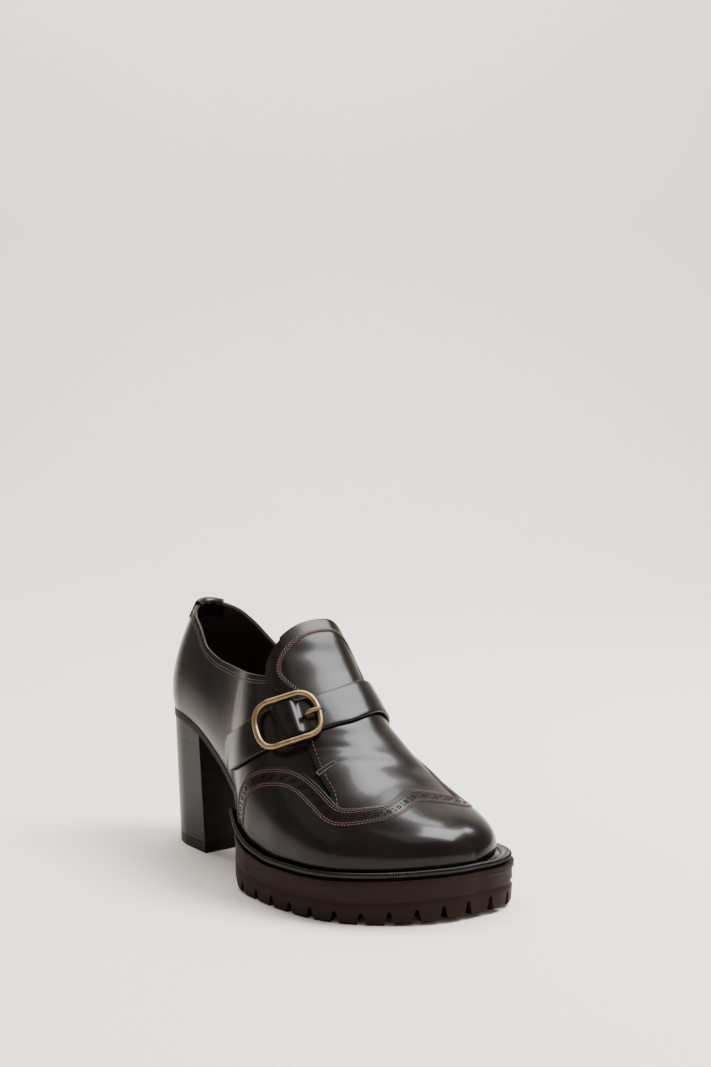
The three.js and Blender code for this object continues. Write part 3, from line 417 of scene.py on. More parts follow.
def collar_height(along):
    """The collar's height from the side: its share of the heel collar above the heel seat."""
    return SEAT_HEIGHT + COLLAR_BACK * collar_rise(np.asarray(along) / UPPER_LENGTH)


def girth_at(t, side, height):
    """The girth share where each station's surface passes a height that depends on along; 0 if none."""
    shares = np.linspace(0, 1, 301)
    points = read_grid(last_grid, np.asarray(t)[:, None], side * shares[None, :])
    over = points[..., 2] - height(points[..., 0])
    first = np.argmax(over <= 0, axis=1)
    rows = np.arange(len(over))
    before = np.maximum(first - 1, 0)
    a, b = over[rows, before], over[rows, first]
    share = np.where(first > 0, shares[before] + (shares[1] - shares[0]) * a / np.maximum(a - b, 1e-9), 0)
    return side * share


OUTER_ROWS, RIM_ROWS, INNER_ROWS = 60, 5, 30
RIM_ROLL = 0.9
LAST_STATION = 2.97
heel_part, middle_part = np.linspace(0, 1, 50), np.linspace(1, 2, 110)[1:]
upper_stations = np.concatenate([heel_part, middle_part, np.linspace(2, LAST_STATION, 36)[1:]])
around = np.concatenate([-upper_stations[::-1], upper_stations[1:]])
around_t, side_of = np.abs(around)[:, None], np.where(around < 0, -1, 1)
collar_sides = [girth_at(np.abs(around), side, collar_height) for side in (-1, 1)]
collar_q = np.where(side_of < 0, *collar_sides)
open_share = np.abs(collar_q)[:, None]
up_rows = np.linspace(0, 1, OUTER_ROWS)[None, :]
outer_points = skin(around_t.repeat(OUTER_ROWS, 1), side_of[:, None] * (1 - up_rows * (1 - open_share)))
rim_angle = np.linspace(0, math.pi, RIM_ROWS + 2)[1:-1]
rim_lift = -UPPER_WALL / 2 + UPPER_WALL / 2 * np.cos(rim_angle)
rim_lifts = rim_lift[None, :].repeat(len(around), 0)
rim = skin(around_t.repeat(RIM_ROWS, 1), collar_q[:, None].repeat(RIM_ROWS, 1), rim_lifts)
rim[..., 2] += RIM_ROLL * np.sin(rim_angle)[None, :] * (open_share > 0.001)
down_rows = np.linspace(0, 1, INNER_ROWS)[None, :]
inner_q = side_of[:, None] * (open_share + down_rows * (1 - open_share))
inner_points = skin(around_t.repeat(INNER_ROWS, 1), inner_q, np.full(inner_q.shape, -UPPER_WALL))
profile = np.concatenate([outer_points, rim, inner_points], axis=1)


def line_with(made, material, key="inside"):
    """Gives the second material to the faces whose points all carry the mark."""
    mesh = made.data
    mesh.materials.append(material)
    mark = np.zeros(len(mesh.vertices), np.float32)
    mesh.attributes[key].data.foreach_get("value", mark)
    first = np.zeros(len(mesh.polygons), np.int32)
    corner = np.zeros(len(mesh.loops), np.int32)
    mesh.polygons.foreach_get("loop_start", first)
    mesh.loops.foreach_get("vertex_index", corner)
    lowest = np.minimum.reduceat(mark[corner], first)
    mesh.polygons.foreach_set("material_index", (lowest > 0.5).astype(np.int32))


def along_line(points):
    """The running length of a line of points."""
    return np.concatenate([[0], np.cumsum(np.linalg.norm(np.diff(points, axis=0), axis=1))])


def respace(points, gap):
    """The line's points spaced evenly by about a gap."""
    run = along_line(points)
    want = np.linspace(0, run[-1], max(2, int(run[-1] / gap) + 1))
    return np.stack([np.interp(want, run, points[:, k]) for k in range(points.shape[1])], axis=1)


def soften(points, width):
    """Each point becomes the mean of its neighbours within a width in points; the ends stay."""
    padded = np.concatenate([points[:1].repeat(width, 0), points, points[-1:].repeat(width, 0)])
    kernel = np.ones(2 * width + 1) / (2 * width + 1)
    columns = [np.convolve(padded[:, k], kernel, mode="valid") for k in range(points.shape[1])]
    made = np.stack(columns, axis=1)
    place = np.arange(len(points))
    fade = np.minimum(1, np.minimum(place, place[::-1]) / width)[:, None]
    return points * (1 - fade) + made * fade


def solve_on(want, columns, t, q):
    """The station and girth whose point has the wanted values in two of its coordinates, by Newton steps."""
    t, q = np.array(t, float), np.array(q, float)
    d = 0.008
    for _ in range(14):
        here = read_grid(last_grid, t, q)[..., columns]
        a = (read_grid(last_grid, t + d, q) - read_grid(last_grid, t - d, q))[..., columns] / (2 * d)
        b = (read_grid(last_grid, t, q + d) - read_grid(last_grid, t, q - d))[..., columns] / (2 * d)
        miss = want - here
        det = a[..., 0] * b[..., 1] - a[..., 1] * b[..., 0]
        det = np.where(np.abs(det) < 1e-3, 1e-3, det)
        step_t = (miss[..., 0] * b[..., 1] - miss[..., 1] * b[..., 0]) / det
        step_q = (a[..., 0] * miss[..., 1] - a[..., 1] * miss[..., 0]) / det
        t = np.clip(t + np.clip(step_t, -0.06, 0.06), 0, 2.99)
        q = np.clip(q + np.clip(step_q, -0.06, 0.06), -1, 1)
    return np.stack([t, q], axis=-1)


def from_side(table, side, samples=80):
    """A line seen from the side as stations and girths: shares of the length, heights over the forefoot."""
    table = np.array(table)
    run = along_line(table * [UPPER_LENGTH, CROWN_HEIGHT])
    want = np.linspace(0, run[-1], samples)
    at = smooth_through(run, table[:, 0])(want)
    rise = smooth_through(run, table[:, 1])(want)
    along, up = at * UPPER_LENGTH, FOREFOOT_HEIGHT + rise * CROWN_HEIGHT
    over_seat = up > seat_height(along) + 2
    along, up = along[over_seat], up[over_seat]
    t = np.clip(station_of(along), 1, 2.4)
    q = girth_at(t, side, lambda along_there: up[:, None])
    return solve_on(np.stack([along, up], axis=-1), [0, 2], t, np.clip(q, -0.97, 0.97))


def from_above(table, samples=120):
    """A line seen from above as stations and girths: shares of the ball's width and of the length."""
    table = np.array(table)
    aside = np.linspace(table[0, 0], table[-1, 0], samples)
    along = smooth_through(table[:, 0], table[:, 1])(aside) * UPPER_LENGTH
    t = np.where(along < UPPER_LENGTH - TOE_ROUND, station_of(along), 2.2)
    target = np.stack([along, aside * BALL_WIDTH], axis=-1)
    return solve_on(target, [0, 1], t, np.linspace(-0.45, 0.45, samples))


def frames_on(line, lift=0.0):
    """Points, unit tangents, normals and left-hand directions of a line of stations and girths."""
    points = skin(line[:, 0], line[:, 1], np.full(len(line), float(lift)))
    tangent = np.gradient(points, axis=0)
    tangent /= np.maximum(np.linalg.norm(tangent, axis=1, keepdims=True), 1e-9)
    normal = read_grid(normal_grid, line[:, 0], line[:, 1])
    normal /= np.linalg.norm(normal, axis=1, keepdims=True)
    left = np.cross(normal, tangent)
    return points, tangent, normal, left


def beside(line, distance, soft=3):
    """The line moved over the surface to its left by a distance."""
    points, _, _, left = frames_on(line)
    t, q = settle(points + left * distance, line[:, 0], line[:, 1])
    moved = np.stack([t, q], axis=-1)
    spaced = respace(skin(t, q), 0.8)
    spaced = soften(spaced, soft)
    run, new = along_line(skin(t, q)), along_line(spaced)
    guess = np.stack([np.interp(new / new[-1] * run[-1], run, moved[:, k]) for k in range(2)], axis=1)
    return np.stack(settle(spaced, guess[:, 0], guess[:, 1]), axis=-1)


def sites(line, lift, pitch, start_at=None):
    """Places spaced evenly by a pitch along a line: points, tangents, normals and left-hand directions."""
    points, tangent, normal, left = frames_on(line, lift)
    run = along_line(points)
    want = np.arange(pitch / 2 if start_at is None else start_at, run[-1] - pitch / 2, pitch)
    lines = (points, tangent, normal, left)
    return [np.stack([np.interp(want, run, v[:, k]) for k in range(3)], axis=1) for v in lines]


def scatter(places, shape, faces):
    """Copies of a small shape given in tangent, left and normal directions, one at each place."""
    point, tangent, normal, left = places
    made = (
        point[:, None, :]
        + shape[None, :, 0:1] * tangent[:, None, :]
        + shape[None, :, 1:2] * left[:, None, :]
        + shape[None, :, 2:3] * normal[:, None, :]
    )
    first = np.arange(len(point))[:, None, None] * len(shape)
    return made.reshape(-1, 3), (faces[None] + first).reshape(-1, faces.shape[1])


def join(parts):
    """Several sets of points and faces as one set."""
    points, faces, count = [], [], 0
    for p, f in parts:
        points.append(p)
        faces += [[v + count for v in face] for face in (f if isinstance(f, list) else f.tolist())]
        count += len(p)
    return np.concatenate(points), faces


def stitch_shape(length, radius, tilt=0.0):
    """A stitch: a six-sided grain of thread that dives into the leather at both ends."""
    x = np.array([-0.5, -0.4, -0.15, 0.15, 0.4, 0.5]) * length
    r = np.array([0.25, 0.8, 1.0, 1.0, 0.8, 0.25]) * radius
    up = np.array([-0.6, 0.1, 0.35, 0.35, 0.1, -0.6]) * radius
    angle = np.arange(6) * math.pi / 3
    shape = np.stack(
        [
            x[:, None].repeat(6, 1) + 0 * angle,
            r[:, None] * np.cos(angle) + tilt * x[:, None],
            up[:, None] + r[:, None] * np.sin(angle),
        ],
        axis=-1,
    )
    return shape.reshape(-1, 3), grid_faces(6, 6, closed=True)


def ring_shape(radius, height):
    """A hole: a low pressed lip round a shallow dish, closed at its middle, that carries the hole's depth as
    painted shade.
    """
    r = np.array([1.35, 1.12, 0.95, 0.8, 0.45, 0.02]) * radius
    up = np.array([-0.05, 0.08, 0.05, -0.04, -0.06, -0.06]) + height
    angle = np.arange(12) * math.pi / 6
    flat = [r[:, None] * np.cos(angle), r[:, None] * np.sin(angle)]
    shape = np.stack([*flat, up[:, None] + 0 * angle], axis=-1)
    return shape.reshape(-1, 3), grid_faces(6, 12, closed=True)


# Waxed polyester sewing thread, medium brown, about 0.5 mm thick, with a soft sheen.
def thread(name, deep, light):
    """Waxed thread: its twist shows as a fine mottle, 0.7 mm across."""
    material, tree, place, shader = start(name)
    _, tone = mottled(tree, place, 1500.0, 2.0, deep, light)
    dress(shader, {"Roughness": 0.55}, {"Base Color": tone})
    return material


brown_thread = thread("waxed polyester thread", "#241510", "#55382c")

inside = np.zeros((len(around) + 1, profile.shape[1]))
inside[:, OUTER_ROWS + RIM_ROWS // 2 + 1 :] = 1
toe_join = np.concatenate([profile, profile[:1]])
upper = piece(
    "quarters",
    to_frame(toe_join),
    grid_faces(*toe_join.shape[:2], closed=True),
    leather,
    ["upper"],
    smooth=80,
    values={"inside": inside},
)
line_with(upper, lining)

# Two rows of brown stitching hold the lining under the collar's folded edge. Each row lies a few
# millimetres down the outside, so the girth share that makes a millimetre is measured by a small step.
COLLAR_STITCH_ROWS = (2.4, 3.9)
SHARE_STEP = 0.02
open_collar = np.abs(collar_q) > 0.02
collar_line = np.stack([np.abs(around), collar_q], axis=-1)[open_collar]
stepped = skin(collar_line[:, 0], collar_line[:, 1] * (1 + SHARE_STEP))
collar_girth = np.linalg.norm(stepped - skin(*collar_line.T), axis=1)
collar_step = np.abs(collar_line[:, 1]) * SHARE_STEP / np.maximum(collar_girth, 1e-6)
collar_threads = []
for distance in COLLAR_STITCH_ROWS:
    row = collar_line.copy()
    row[:, 1] += np.sign(row[:, 1]) * collar_step * distance
    collar_threads.append(scatter(sites(row, 0.12, 1.9), *stitch_shape(1.6, 0.26)))
points, faces = join(collar_threads)
piece("collar_stitches", to_frame(points), faces, brown_thread, smooth=80)

# The insole: a board covered in the lining's dark leather, lying in the shoe on the sole.
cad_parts["insole"].data.materials.clear()
insole_cover = matt_leather("leather-covered insole board", "#21140f", "#33211a")
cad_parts["insole"].data.materials.append(insole_cover)

# The vamp and its high tongue are one piece of the same leather, laid over the quarters and sewn down
# along its lateral edge. It is 1.4 mm thick with a raised cut edge, and it creases softly under the strap.
VAMP_THICK = 1.4
VAMP_TOP = GAP + VAMP_THICK
TONGUE_ROWS = [
    [0.87, 0.15],
    [0.8, 0.275],
    [0.775, 0.335],
    [0.742, 0.395],
    [0.711, 0.465],
    [0.674, 0.555],
    [0.624, 0.69],
    [0.584, 0.78],
    [0.556, 0.822],
    [0.537, 0.86],
    [0.522, 0.93],
    [0.516, 0.99],
    [0.5135, 1.06],
]
TONGUE_TOP = 0.5135
VAMP_END = 0.865
# Soft creases: distance along, girth share, turn in degrees, then half-length, half-width and height in mm.
CREASE_ROWS = [
    [163, -0.30, 20, 15, 3.6, -0.75],
    [157, -0.20, 14, 20, 4.5, 0.55],
    [171, -0.16, 24, 20, 5.0, 0.5],
    [177, -0.05, 18, 24, 5.5, -0.55],
    [160, 0.12, -8, 22, 5.0, -0.4],
    [128, -0.12, 10, 16, 5.0, -0.35],
    [186, 0.10, 8, 20, 6.0, 0.35],
]


def creases(points, rows):
    """Troughs and ridges: each a bell across its width and a flat-topped bell along its length."""
    lift = np.zeros(points.shape[:-1])
    for along, q, turn, reach, wide, height in rows:
        past = along - UPPER_LENGTH + TOE_ROUND
        t = 2 + past / 80 if past >= 0 else station_of(along)
        middle, _, normal, _ = (v[0] for v in frames_on(np.array([[t, q], [t + 0.001, q]])))
        across = np.array([0, 1.0, 0]) - normal * normal[1]
        across /= np.linalg.norm(across)
        ahead = np.cross(across, normal)
        angle = math.radians(turn)
        u = math.cos(angle) * across + math.sin(angle) * ahead
        v = np.cross(normal, u)
        gone = points - middle
        x, y = gone @ u / reach, gone @ v / wide
        lift += height * np.exp(-(x**4) - y**2)
    return lift


def sheet(t, left, right, low, high, columns, pinch, ripple=None):
    """Leather with rounded edges: outer row, right edge, inner row and left edge as one closed profile."""
    middle = (low + high) / 2
    half = (high - low) / 2 * pinch[:, None]
    share = (1 - np.cos(np.linspace(0, math.pi, columns))) / 2 * 0.4 + np.linspace(0, 1, columns) * 0.6
    q = left[:, None] + (right - left)[:, None] * share
    d = 0.01
    apart = read_grid(last_grid, t[:, None], q + d) - read_grid(last_grid, t[:, None], q - d)
    scale = np.linalg.norm(apart, axis=-1) / (2 * d)
    angle = np.linspace(0, math.pi, 6)[1:-1]
    edge_q = np.sin(angle)[None, :] * half
    right_q = right[:, None] + edge_q / scale[:, -1:]
    left_q = left[:, None] - edge_q / scale[:, :1]
    edge_lift = np.cos(angle)[None, :] * half
    qs = np.concatenate([q, right_q, q[:, ::-1], left_q[:, ::-1]], axis=1)
    lifts = np.concatenate([half + 0 * q, edge_lift, -half + 0 * q, edge_lift[:, ::-1]], axis=1) + middle
    ts = t[:, None].repeat(qs.shape[1], 1)
    if ripple is not None:
        lifts = lifts + ripple(read_grid(last_grid, ts, qs))
    return skin(ts, qs, lifts)


tongue_table = np.array(TONGUE_ROWS)[::-1]
tongue_rise = smooth_through(tongue_table[:, 0], tongue_table[:, 1])


def tongue_up(along):
    """The height of the vamp's and tongue's edge from the side, at a distance along."""
    return FOREFOOT_HEIGHT + CROWN_HEIGHT * tongue_rise(along / UPPER_LENGTH)


spread_rows = np.linspace(0, 1, 150) ** 1.35
vamp_along = UPPER_LENGTH * (TONGUE_TOP + (VAMP_END - TONGUE_TOP) * spread_rows)
vamp_t = np.interp(vamp_along, station(np.linspace(0, 3, 3001))[0], np.linspace(0, 3, 3001))
end_angle = np.linspace(0, math.pi / 2, 5)[:-1]
vamp_rows = np.concatenate([vamp_t[0] - VAMP_THICK / 2 / MIDDLE * np.cos(end_angle), vamp_t])
pinch = np.concatenate([np.maximum(np.sin(end_angle), 0.02), np.ones(len(vamp_t))])
vamp_left = girth_at(np.maximum(vamp_rows, vamp_t[0]), -1, tongue_up)
vamp_right = girth_at(np.maximum(vamp_rows, vamp_t[0]), 1, tongue_up)
vamp_profile = sheet(
    vamp_rows, vamp_left, vamp_right, GAP, VAMP_TOP, 110, pinch, lambda p: creases(p, CREASE_ROWS)
)
piece(
    "vamp_and_tongue",
    to_frame(vamp_profile),
    capped_faces(*vamp_profile.shape[:2]),
    leather,
    ["vamp"],
    smooth=80,
)

# A braided double row of brown thread runs round the tongue, about 6 mm inside its edge, and goes on
# down the vamp's lateral edge, where it comes close to the edge.
BRAID_END = 137
braided = vamp_t[vamp_along < BRAID_END]
tongue_outline = np.concatenate(
    [
        np.stack([braided[::-1], girth_at(braided, -1, tongue_up)[::-1]], axis=-1),
        np.stack([vamp_t[0] + np.zeros(40), np.linspace(vamp_left[5], vamp_right[5], 42)[1:-1]], axis=-1),
        np.stack([braided, girth_at(braided, 1, tongue_up)], axis=-1),
    ]
)
tongue_line = beside(tongue_outline, 0.0, soft=5)
middle_of_braid = len(tongue_line) // 6
braid_start = tongue_line[middle_of_braid]
inwards = skin(1.75, 0.0) - skin(*braid_start)
inner_sign = np.sign((frames_on(tongue_line)[3][middle_of_braid] * inwards).sum())
BRAID_ROWS = ((5.6, 0.35), (6.7, -0.35))
braid = []
for distance, tilt in BRAID_ROWS:
    row = beside(tongue_line, inner_sign * distance, soft=6)
    braid.append(scatter(sites(row, VAMP_TOP + 0.12, 1.7), *stitch_shape(2.0, 0.36, 2.4 * tilt)))
points, faces = join(braid)
piece("tongue_braid", to_frame(points), faces, brown_thread, smooth=80)

# The vamp's lateral edge is sewn down by one row of dark thread 2 mm inside it. A bar tack, an oval of
# satin stitches across the edge, takes the strain where the foot bends.
VAMP_EDGE_FROM, VAMP_EDGE_TO = 134, 184
edge_rows = (vamp_along > VAMP_EDGE_FROM) & (vamp_along < VAMP_EDGE_TO)
lateral_edge = np.stack([vamp_t, girth_at(vamp_t, -1, tongue_up)], axis=-1)[edge_rows]
edge_left = frames_on(lateral_edge)[3]
edge_sign = np.sign((edge_left[5] * (skin(1.8, 0.0) - skin(*lateral_edge[5]))).sum())
edge_thread = thread("dark waxed thread", "#120b09", "#3a2820")
edge_places = sites(beside(lateral_edge, edge_sign * 2.2, soft=4), VAMP_TOP + 0.08, 2.6)
TACK_FROM, TACK_TO = (1.955, -0.47), (1.965, -0.335)
tack_line = np.linspace(TACK_FROM, TACK_TO, 30)
tack_parts = [scatter(edge_places, *stitch_shape(2.1, 0.3))]
for distance in (-1.0, 1.0):
    tack_places = sites(beside(tack_line, distance), VAMP_TOP + 0.15, 0.8)
    tack_parts.append(scatter(tack_places, *stitch_shape(1.5, 0.3, 0.5)))
for end in (tack_line[:4], tack_line[-4:]):
    points, tangent, normal, left = (v[1:2] for v in frames_on(end, VAMP_TOP + 0.2))
    tack_parts.append(scatter((points, left, normal, -tangent), *stitch_shape(2.6, 0.35)))
points, faces = join(tack_parts)
piece("vamp_edge_stitches", to_frame(points), faces, edge_thread, smooth=80)

# The wing cap is cut from the same leather and lies on the vamp and quarters, with double rows of brown
# thread along both borders of its band and punched holes between them. Its toe is polished brightest.
CAP_THICK = 2.0
CAP_TOP = GAP + CAP_THICK
WING_OUT_ROWS = [
    [0.524, -0.1],
    [0.529, 0.14],
    [0.538, 0.245],
    [0.552, 0.325],
    [0.592, 0.405],
    [0.636, 0.435],
    [0.674, 0.436],
    [0.706, 0.414],
    [0.746, 0.362],
    [0.785, 0.306],
]
WING_TOP_ROWS = [
    [-0.31, 0.802],
    [-0.27, 0.82],
    [-0.21, 0.837],
    [-0.147, 0.85],
    [-0.07, 0.86],
    [0.012, 0.853],
    [0.06, 0.846],
    [0.115, 0.838],
    [0.18, 0.847],
    [0.26, 0.858],
    [0.34, 0.868],
    [0.42, 0.873],
]
WING_IN_ROWS = [
    [0.525, -0.1],
    [0.53, 0.14],
    [0.543, 0.25],
    [0.565, 0.335],
    [0.6, 0.4],
    [0.64, 0.43],
    [0.69, 0.43],
    [0.735, 0.395],
    [0.785, 0.345],
    [0.83, 0.29],
]
wing_out = from_side(WING_OUT_ROWS, -1)
wing_top = from_above(WING_TOP_ROWS)
wing_in = from_side(WING_IN_ROWS, 1)[::-1]
rough_seam = np.concatenate([wing_out, wing_top[2:-1], wing_in])
rough_seam = rough_seam[np.abs(rough_seam[:, 1]) < 0.965]
rough_seam = np.concatenate([[[rough_seam[0, 0] - 0.004, -1]], rough_seam, [[rough_seam[-1, 0] - 0.004, 1]]])


def even_seam(line, gap, width):
    """A line of stations and girths, evenly spaced and softened on the surface."""
    points = skin(line[:, 0], line[:, 1])
    spaced = respace(points, gap)
    run, new = along_line(points), along_line(spaced)
    guess = np.stack([np.interp(new, run, line[:, k]) for k in range(2)], axis=1)
    made = np.stack(settle(soften(spaced, width), guess[:, 0], guess[:, 1]), axis=-1)
    made[0], made[-1] = line[0], line[-1]
    return made


seam = even_seam(rough_seam, 0.9, 3)
seam_run = along_line(skin(*seam.T))
share = seam_run / seam_run[-1]
LATERAL_SHARE, MEDIAL_SHARE = 0.36, 0.64
lateral_low = seam[0, 0] + (3 - seam[0, 0]) * np.minimum(share / LATERAL_SHARE, 1) ** 0.8
medial_low = seam[-1, 0] + (3 - seam[-1, 0]) * np.minimum((1 - share) / (1 - MEDIAL_SHARE), 1) ** 0.8
low_t = np.where(share < LATERAL_SHARE, lateral_low, np.where(share > MEDIAL_SHARE, medial_low, 3.0))
low_q = np.clip(-1 + 2 * (share - LATERAL_SHARE) / (MEDIAL_SHARE - LATERAL_SHARE), -1, 1)
down = np.linspace(0, 1, 110)[None, :]
cap_t = seam[:, :1] + (low_t[:, None] - seam[:, :1]) * down
cap_q = seam[:, 1:] + (low_q[:, None] - seam[:, 1:]) * down
_, _, _, seam_left = frames_on(seam)
rim_angle = np.linspace(0, math.pi, 8)[1:-1]
middle_lift, half_lift = GAP + CAP_THICK / 2, CAP_THICK / 2
seam_normal = read_grid(normal_grid, *seam.T)
cap_outer = skin(cap_t, cap_q, CAP_TOP + 0 * cap_t)
toe_side = np.sign((seam_left[len(seam) // 2] * (skin(2.8, 0.0) - skin(*seam[len(seam) // 2]))).sum())
cap_rim = (
    skin(*seam.T)[:, None]
    + seam_normal[:, None] * (middle_lift - half_lift * np.cos(rim_angle))[None, :, None]
    - toe_side * seam_left[:, None] * (0.9 * half_lift * np.sin(rim_angle))[None, :, None]
)
cap_inner = skin(cap_t[:, ::-2], cap_q[:, ::-2], GAP + 0 * cap_t[:, ::-2])
cap_profile = np.concatenate([cap_outer, cap_inner, cap_rim], axis=1)
piece(
    "winged_toe_cap",
    to_frame(cap_profile),
    capped_faces(*cap_profile.shape[:2]),
    cap_leather,
    ["wing_cap"],
    smooth=80,
)
BAND_STITCH_ROWS = (1.2, 2.3, 8.2, 9.3)
BAND_HOLES = 5.2
wing_threads = []
for distance in BAND_STITCH_ROWS:
    row = beside(seam[4:-4], toe_side * distance, soft=5)
    wing_threads.append(scatter(sites(row, CAP_TOP + 0.1, 1.75), *stitch_shape(1.5, 0.27)))
points, faces = join(wing_threads)
piece("wing_stitches", to_frame(points), faces, brown_thread, smooth=80)
HOLE_PITCH = 6.6
hole_row = beside(seam[4:-4], toe_side * BAND_HOLES, soft=5)
small_out = beside(seam[4:-4], toe_side * (BAND_HOLES - 0.95), soft=5)
small_in = beside(seam[4:-4], toe_side * (BAND_HOLES + 0.95), soft=5)
# The holes are not cut through: each is a near-black matt dish, painted shade standing in for the hole's
# depth.
painted_hole_shade = matt_leather("painted shade of uncut holes", "#030202", "#060404", rough=0.8, shine=0.08)
points, faces = join(
    [
        scatter(sites(hole_row, CAP_TOP, HOLE_PITCH), *ring_shape(1.0, 0.05)),
        scatter(sites(small_out, CAP_TOP, HOLE_PITCH, HOLE_PITCH), *ring_shape(0.48, 0.05)),
        scatter(sites(small_in, CAP_TOP, HOLE_PITCH, HOLE_PITCH), *ring_shape(0.48, 0.05)),
    ]
)
piece("wing_broguing", to_frame(points), faces, painted_hole_shade, smooth=80)

# The instep strap: two layers of the same leather with rounded, waxed edges, sewn into the sole's seam on
# the medial side, passing over the buckle's bar and ending in a rounded tail on the lateral side.
STRAP_WIDTH = 21
STRAP_GAP = 0.55
STRAP_THICK = 1.9
BAR_WIRE = 2.0
RING_Q = -0.39
STRAP_ROWS = [
    [-0.87, 0.402],
    [-0.8, 0.45],
    [-0.7, 0.508],
    [-0.6, 0.553],
    [-0.5, 0.588],
    [-0.4, 0.617],
    [-0.3, 0.638],
    [-0.2, 0.65],
    [-0.1, 0.654],
    [0.0, 0.65],
    [0.12, 0.638],
    [0.3, 0.61],
    [0.5, 0.565],
    [0.7, 0.495],
    [0.82, 0.44],
    [0.95, 0.385],
]
strap_at = smooth_through(*np.array(STRAP_ROWS).T)
strap_q = np.linspace(STRAP_ROWS[0][0], STRAP_ROWS[-1][0], 600)
strap_centre = np.stack([station_of(strap_at(strap_q) * UPPER_LENGTH), strap_q], axis=-1)
strap_run = along_line(skin(*strap_centre.T))
strap_run -= np.interp(RING_Q, strap_q, strap_run)


def ease(x):
    """A smooth step from 0 to 1: three squares less two cubes."""
    k = np.clip(x, 0, 1)
    return k * k * (3 - 2 * k)


def strap_lift(run, q):
    """The strap's underside: higher over the vamp, with a rise over the buckle's hidden bar."""
    over_bar = (BAR_WIRE + 1.5 * GAP) * ease(1.65 - np.abs(run) / 4.6)
    return STRAP_GAP + VAMP_TOP * ease((0.47 - np.abs(q)) / 0.1) + over_bar


def strap_spot(run):
    """Station, girth, point, tangent, normal and side of the strap's centre line at running lengths."""
    q = np.interp(run, strap_run, strap_q)
    t = station_of(strap_at(q) * UPPER_LENGTH)
    before, after = np.interp(run - 1.5, strap_run, strap_q), np.interp(run + 1.5, strap_run, strap_q)
    ends = [skin(station_of(strap_at(v) * UPPER_LENGTH), v) for v in (before, after)]
    tangent = ends[1] - ends[0]
    tangent /= np.linalg.norm(tangent, axis=-1, keepdims=True)
    normal = read_grid(normal_grid, t, q)
    normal /= np.linalg.norm(normal, axis=-1, keepdims=True)
    side = np.cross(normal, tangent)
    side /= np.linalg.norm(side, axis=-1, keepdims=True)
    return t, q, skin(t, q), tangent, normal, side


strap_first, strap_end = strap_run[0] + 2, strap_run[-1] - 2
tail = STRAP_WIDTH / 2
tail_runs = strap_first + tail * (1 - np.cos(np.linspace(0, math.pi / 2, 26)))[:-1]
runs = np.concatenate([tail_runs, np.linspace(strap_first + tail, strap_end, 150)])
back = np.maximum(0, (strap_first + tail - runs) / tail)
half_width = STRAP_WIDTH / 2 * np.maximum((1 - np.minimum(back, 1) ** 2.4) ** (1 / 2.4), 0.02)
t0, q0, centre, tangent, normal, side = strap_spot(runs)
r = STRAP_THICK / 2
edge_angle = np.linspace(0, math.pi, 7)
flat = np.linspace(-1, 1, 16)[1:-1]
across = np.concatenate([flat * 1.0, 0 * edge_angle + 1, -flat, 0 * edge_angle - 1])
bulge = np.concatenate([0 * flat, np.sin(edge_angle), 0 * flat, -np.sin(edge_angle)])
height = np.concatenate([0 * flat + 1, np.cos(edge_angle), 0 * flat - 1, -np.cos(edge_angle)])
flat_half = np.maximum(half_width - r, half_width * 0.1)
b = flat_half[:, None] * across[None, :] + np.minimum(r, half_width * 0.9)[:, None] * bulge[None, :]
target = centre[:, None] + side[:, None] * b[..., None]
st, sq = settle(target, t0[:, None].repeat(b.shape[1], 1), q0[:, None].repeat(b.shape[1], 1))
padding = 0.35 * (1 - np.abs(b / (STRAP_WIDTH / 2)) ** 2) * (height > 0.5)
lifts = strap_lift(runs[:, None], sq) + r + r * height[None, :] + padding
strap_profile = skin(st, sq, lifts)
strap_faces = capped_faces(*b.shape)
piece("instep_strap", to_frame(strap_profile), strap_faces, leather, ["strap"], smooth=80)
STRAP_TOP = 0.15 + STRAP_GAP + VAMP_TOP + STRAP_THICK

# The strap's spare holes, punched 8.3 mm apart in line with the one that holds the pin.
STRAP_HOLES = (1.1, 17.7)
_, hole_q, hole_point, hole_tangent, hole_normal, hole_side = strap_spot(np.array(STRAP_HOLES))
hole_lift = strap_lift(np.array(STRAP_HOLES), hole_q) + STRAP_THICK + 0.3
hole_places = (hole_point + hole_normal * hole_lift[:, None], hole_tangent, hole_normal, hole_side)
# Each hole is a near-black dish of painted shade on the uncut strap, standing in for the hole's depth.
points, faces = scatter(hole_places, *ring_shape(1.15, 0.08))
piece("strap_holes", to_frame(points), faces, painted_hole_shade, smooth=80)

# The buckle: an oval ring of cast brass wire with a centre bar under the strap, plated and rubbed back to
# an antique finish, and its tongue pin through the strap's hole.
RING_WIRE = 3.2
RING_LENGTH = 37.5
RING_END = 10
RING_SQUARE = 2.5
RING_DROP = 0.3
RING_LIFT = STRAP_TOP + GAP + RING_WIRE / 2 + 0.9
ring_spot = [v[0] for v in strap_spot(np.array([0.0]))]
ring_t, ring_q, ring_centre, ring_tangent, ring_normal, ring_side = ring_spot
ring_way = 1 if ring_side[2] < 0 else -1
ring_reach = RING_LENGTH / 2
ring_ends = [strap_spot(np.array([x]))[2][0] for x in (-ring_reach, ring_reach)]
ring_fall = [-((end - ring_centre) @ ring_normal) / ring_reach**2 for end in ring_ends]


def on_ring(x, b, lift):
    """A place on the ring's bowed plane: along the strap, across it and above the last."""
    x, b, lift = (np.asarray(v, float) for v in (x, b, lift))
    drop = np.where(x < 0, ring_fall[0], ring_fall[1]) * x * x
    slide = ring_centre + ring_tangent * x[..., None] + ring_side * (b + ring_way * RING_DROP)[..., None]
    return slide + ring_normal * (lift - drop)[..., None]


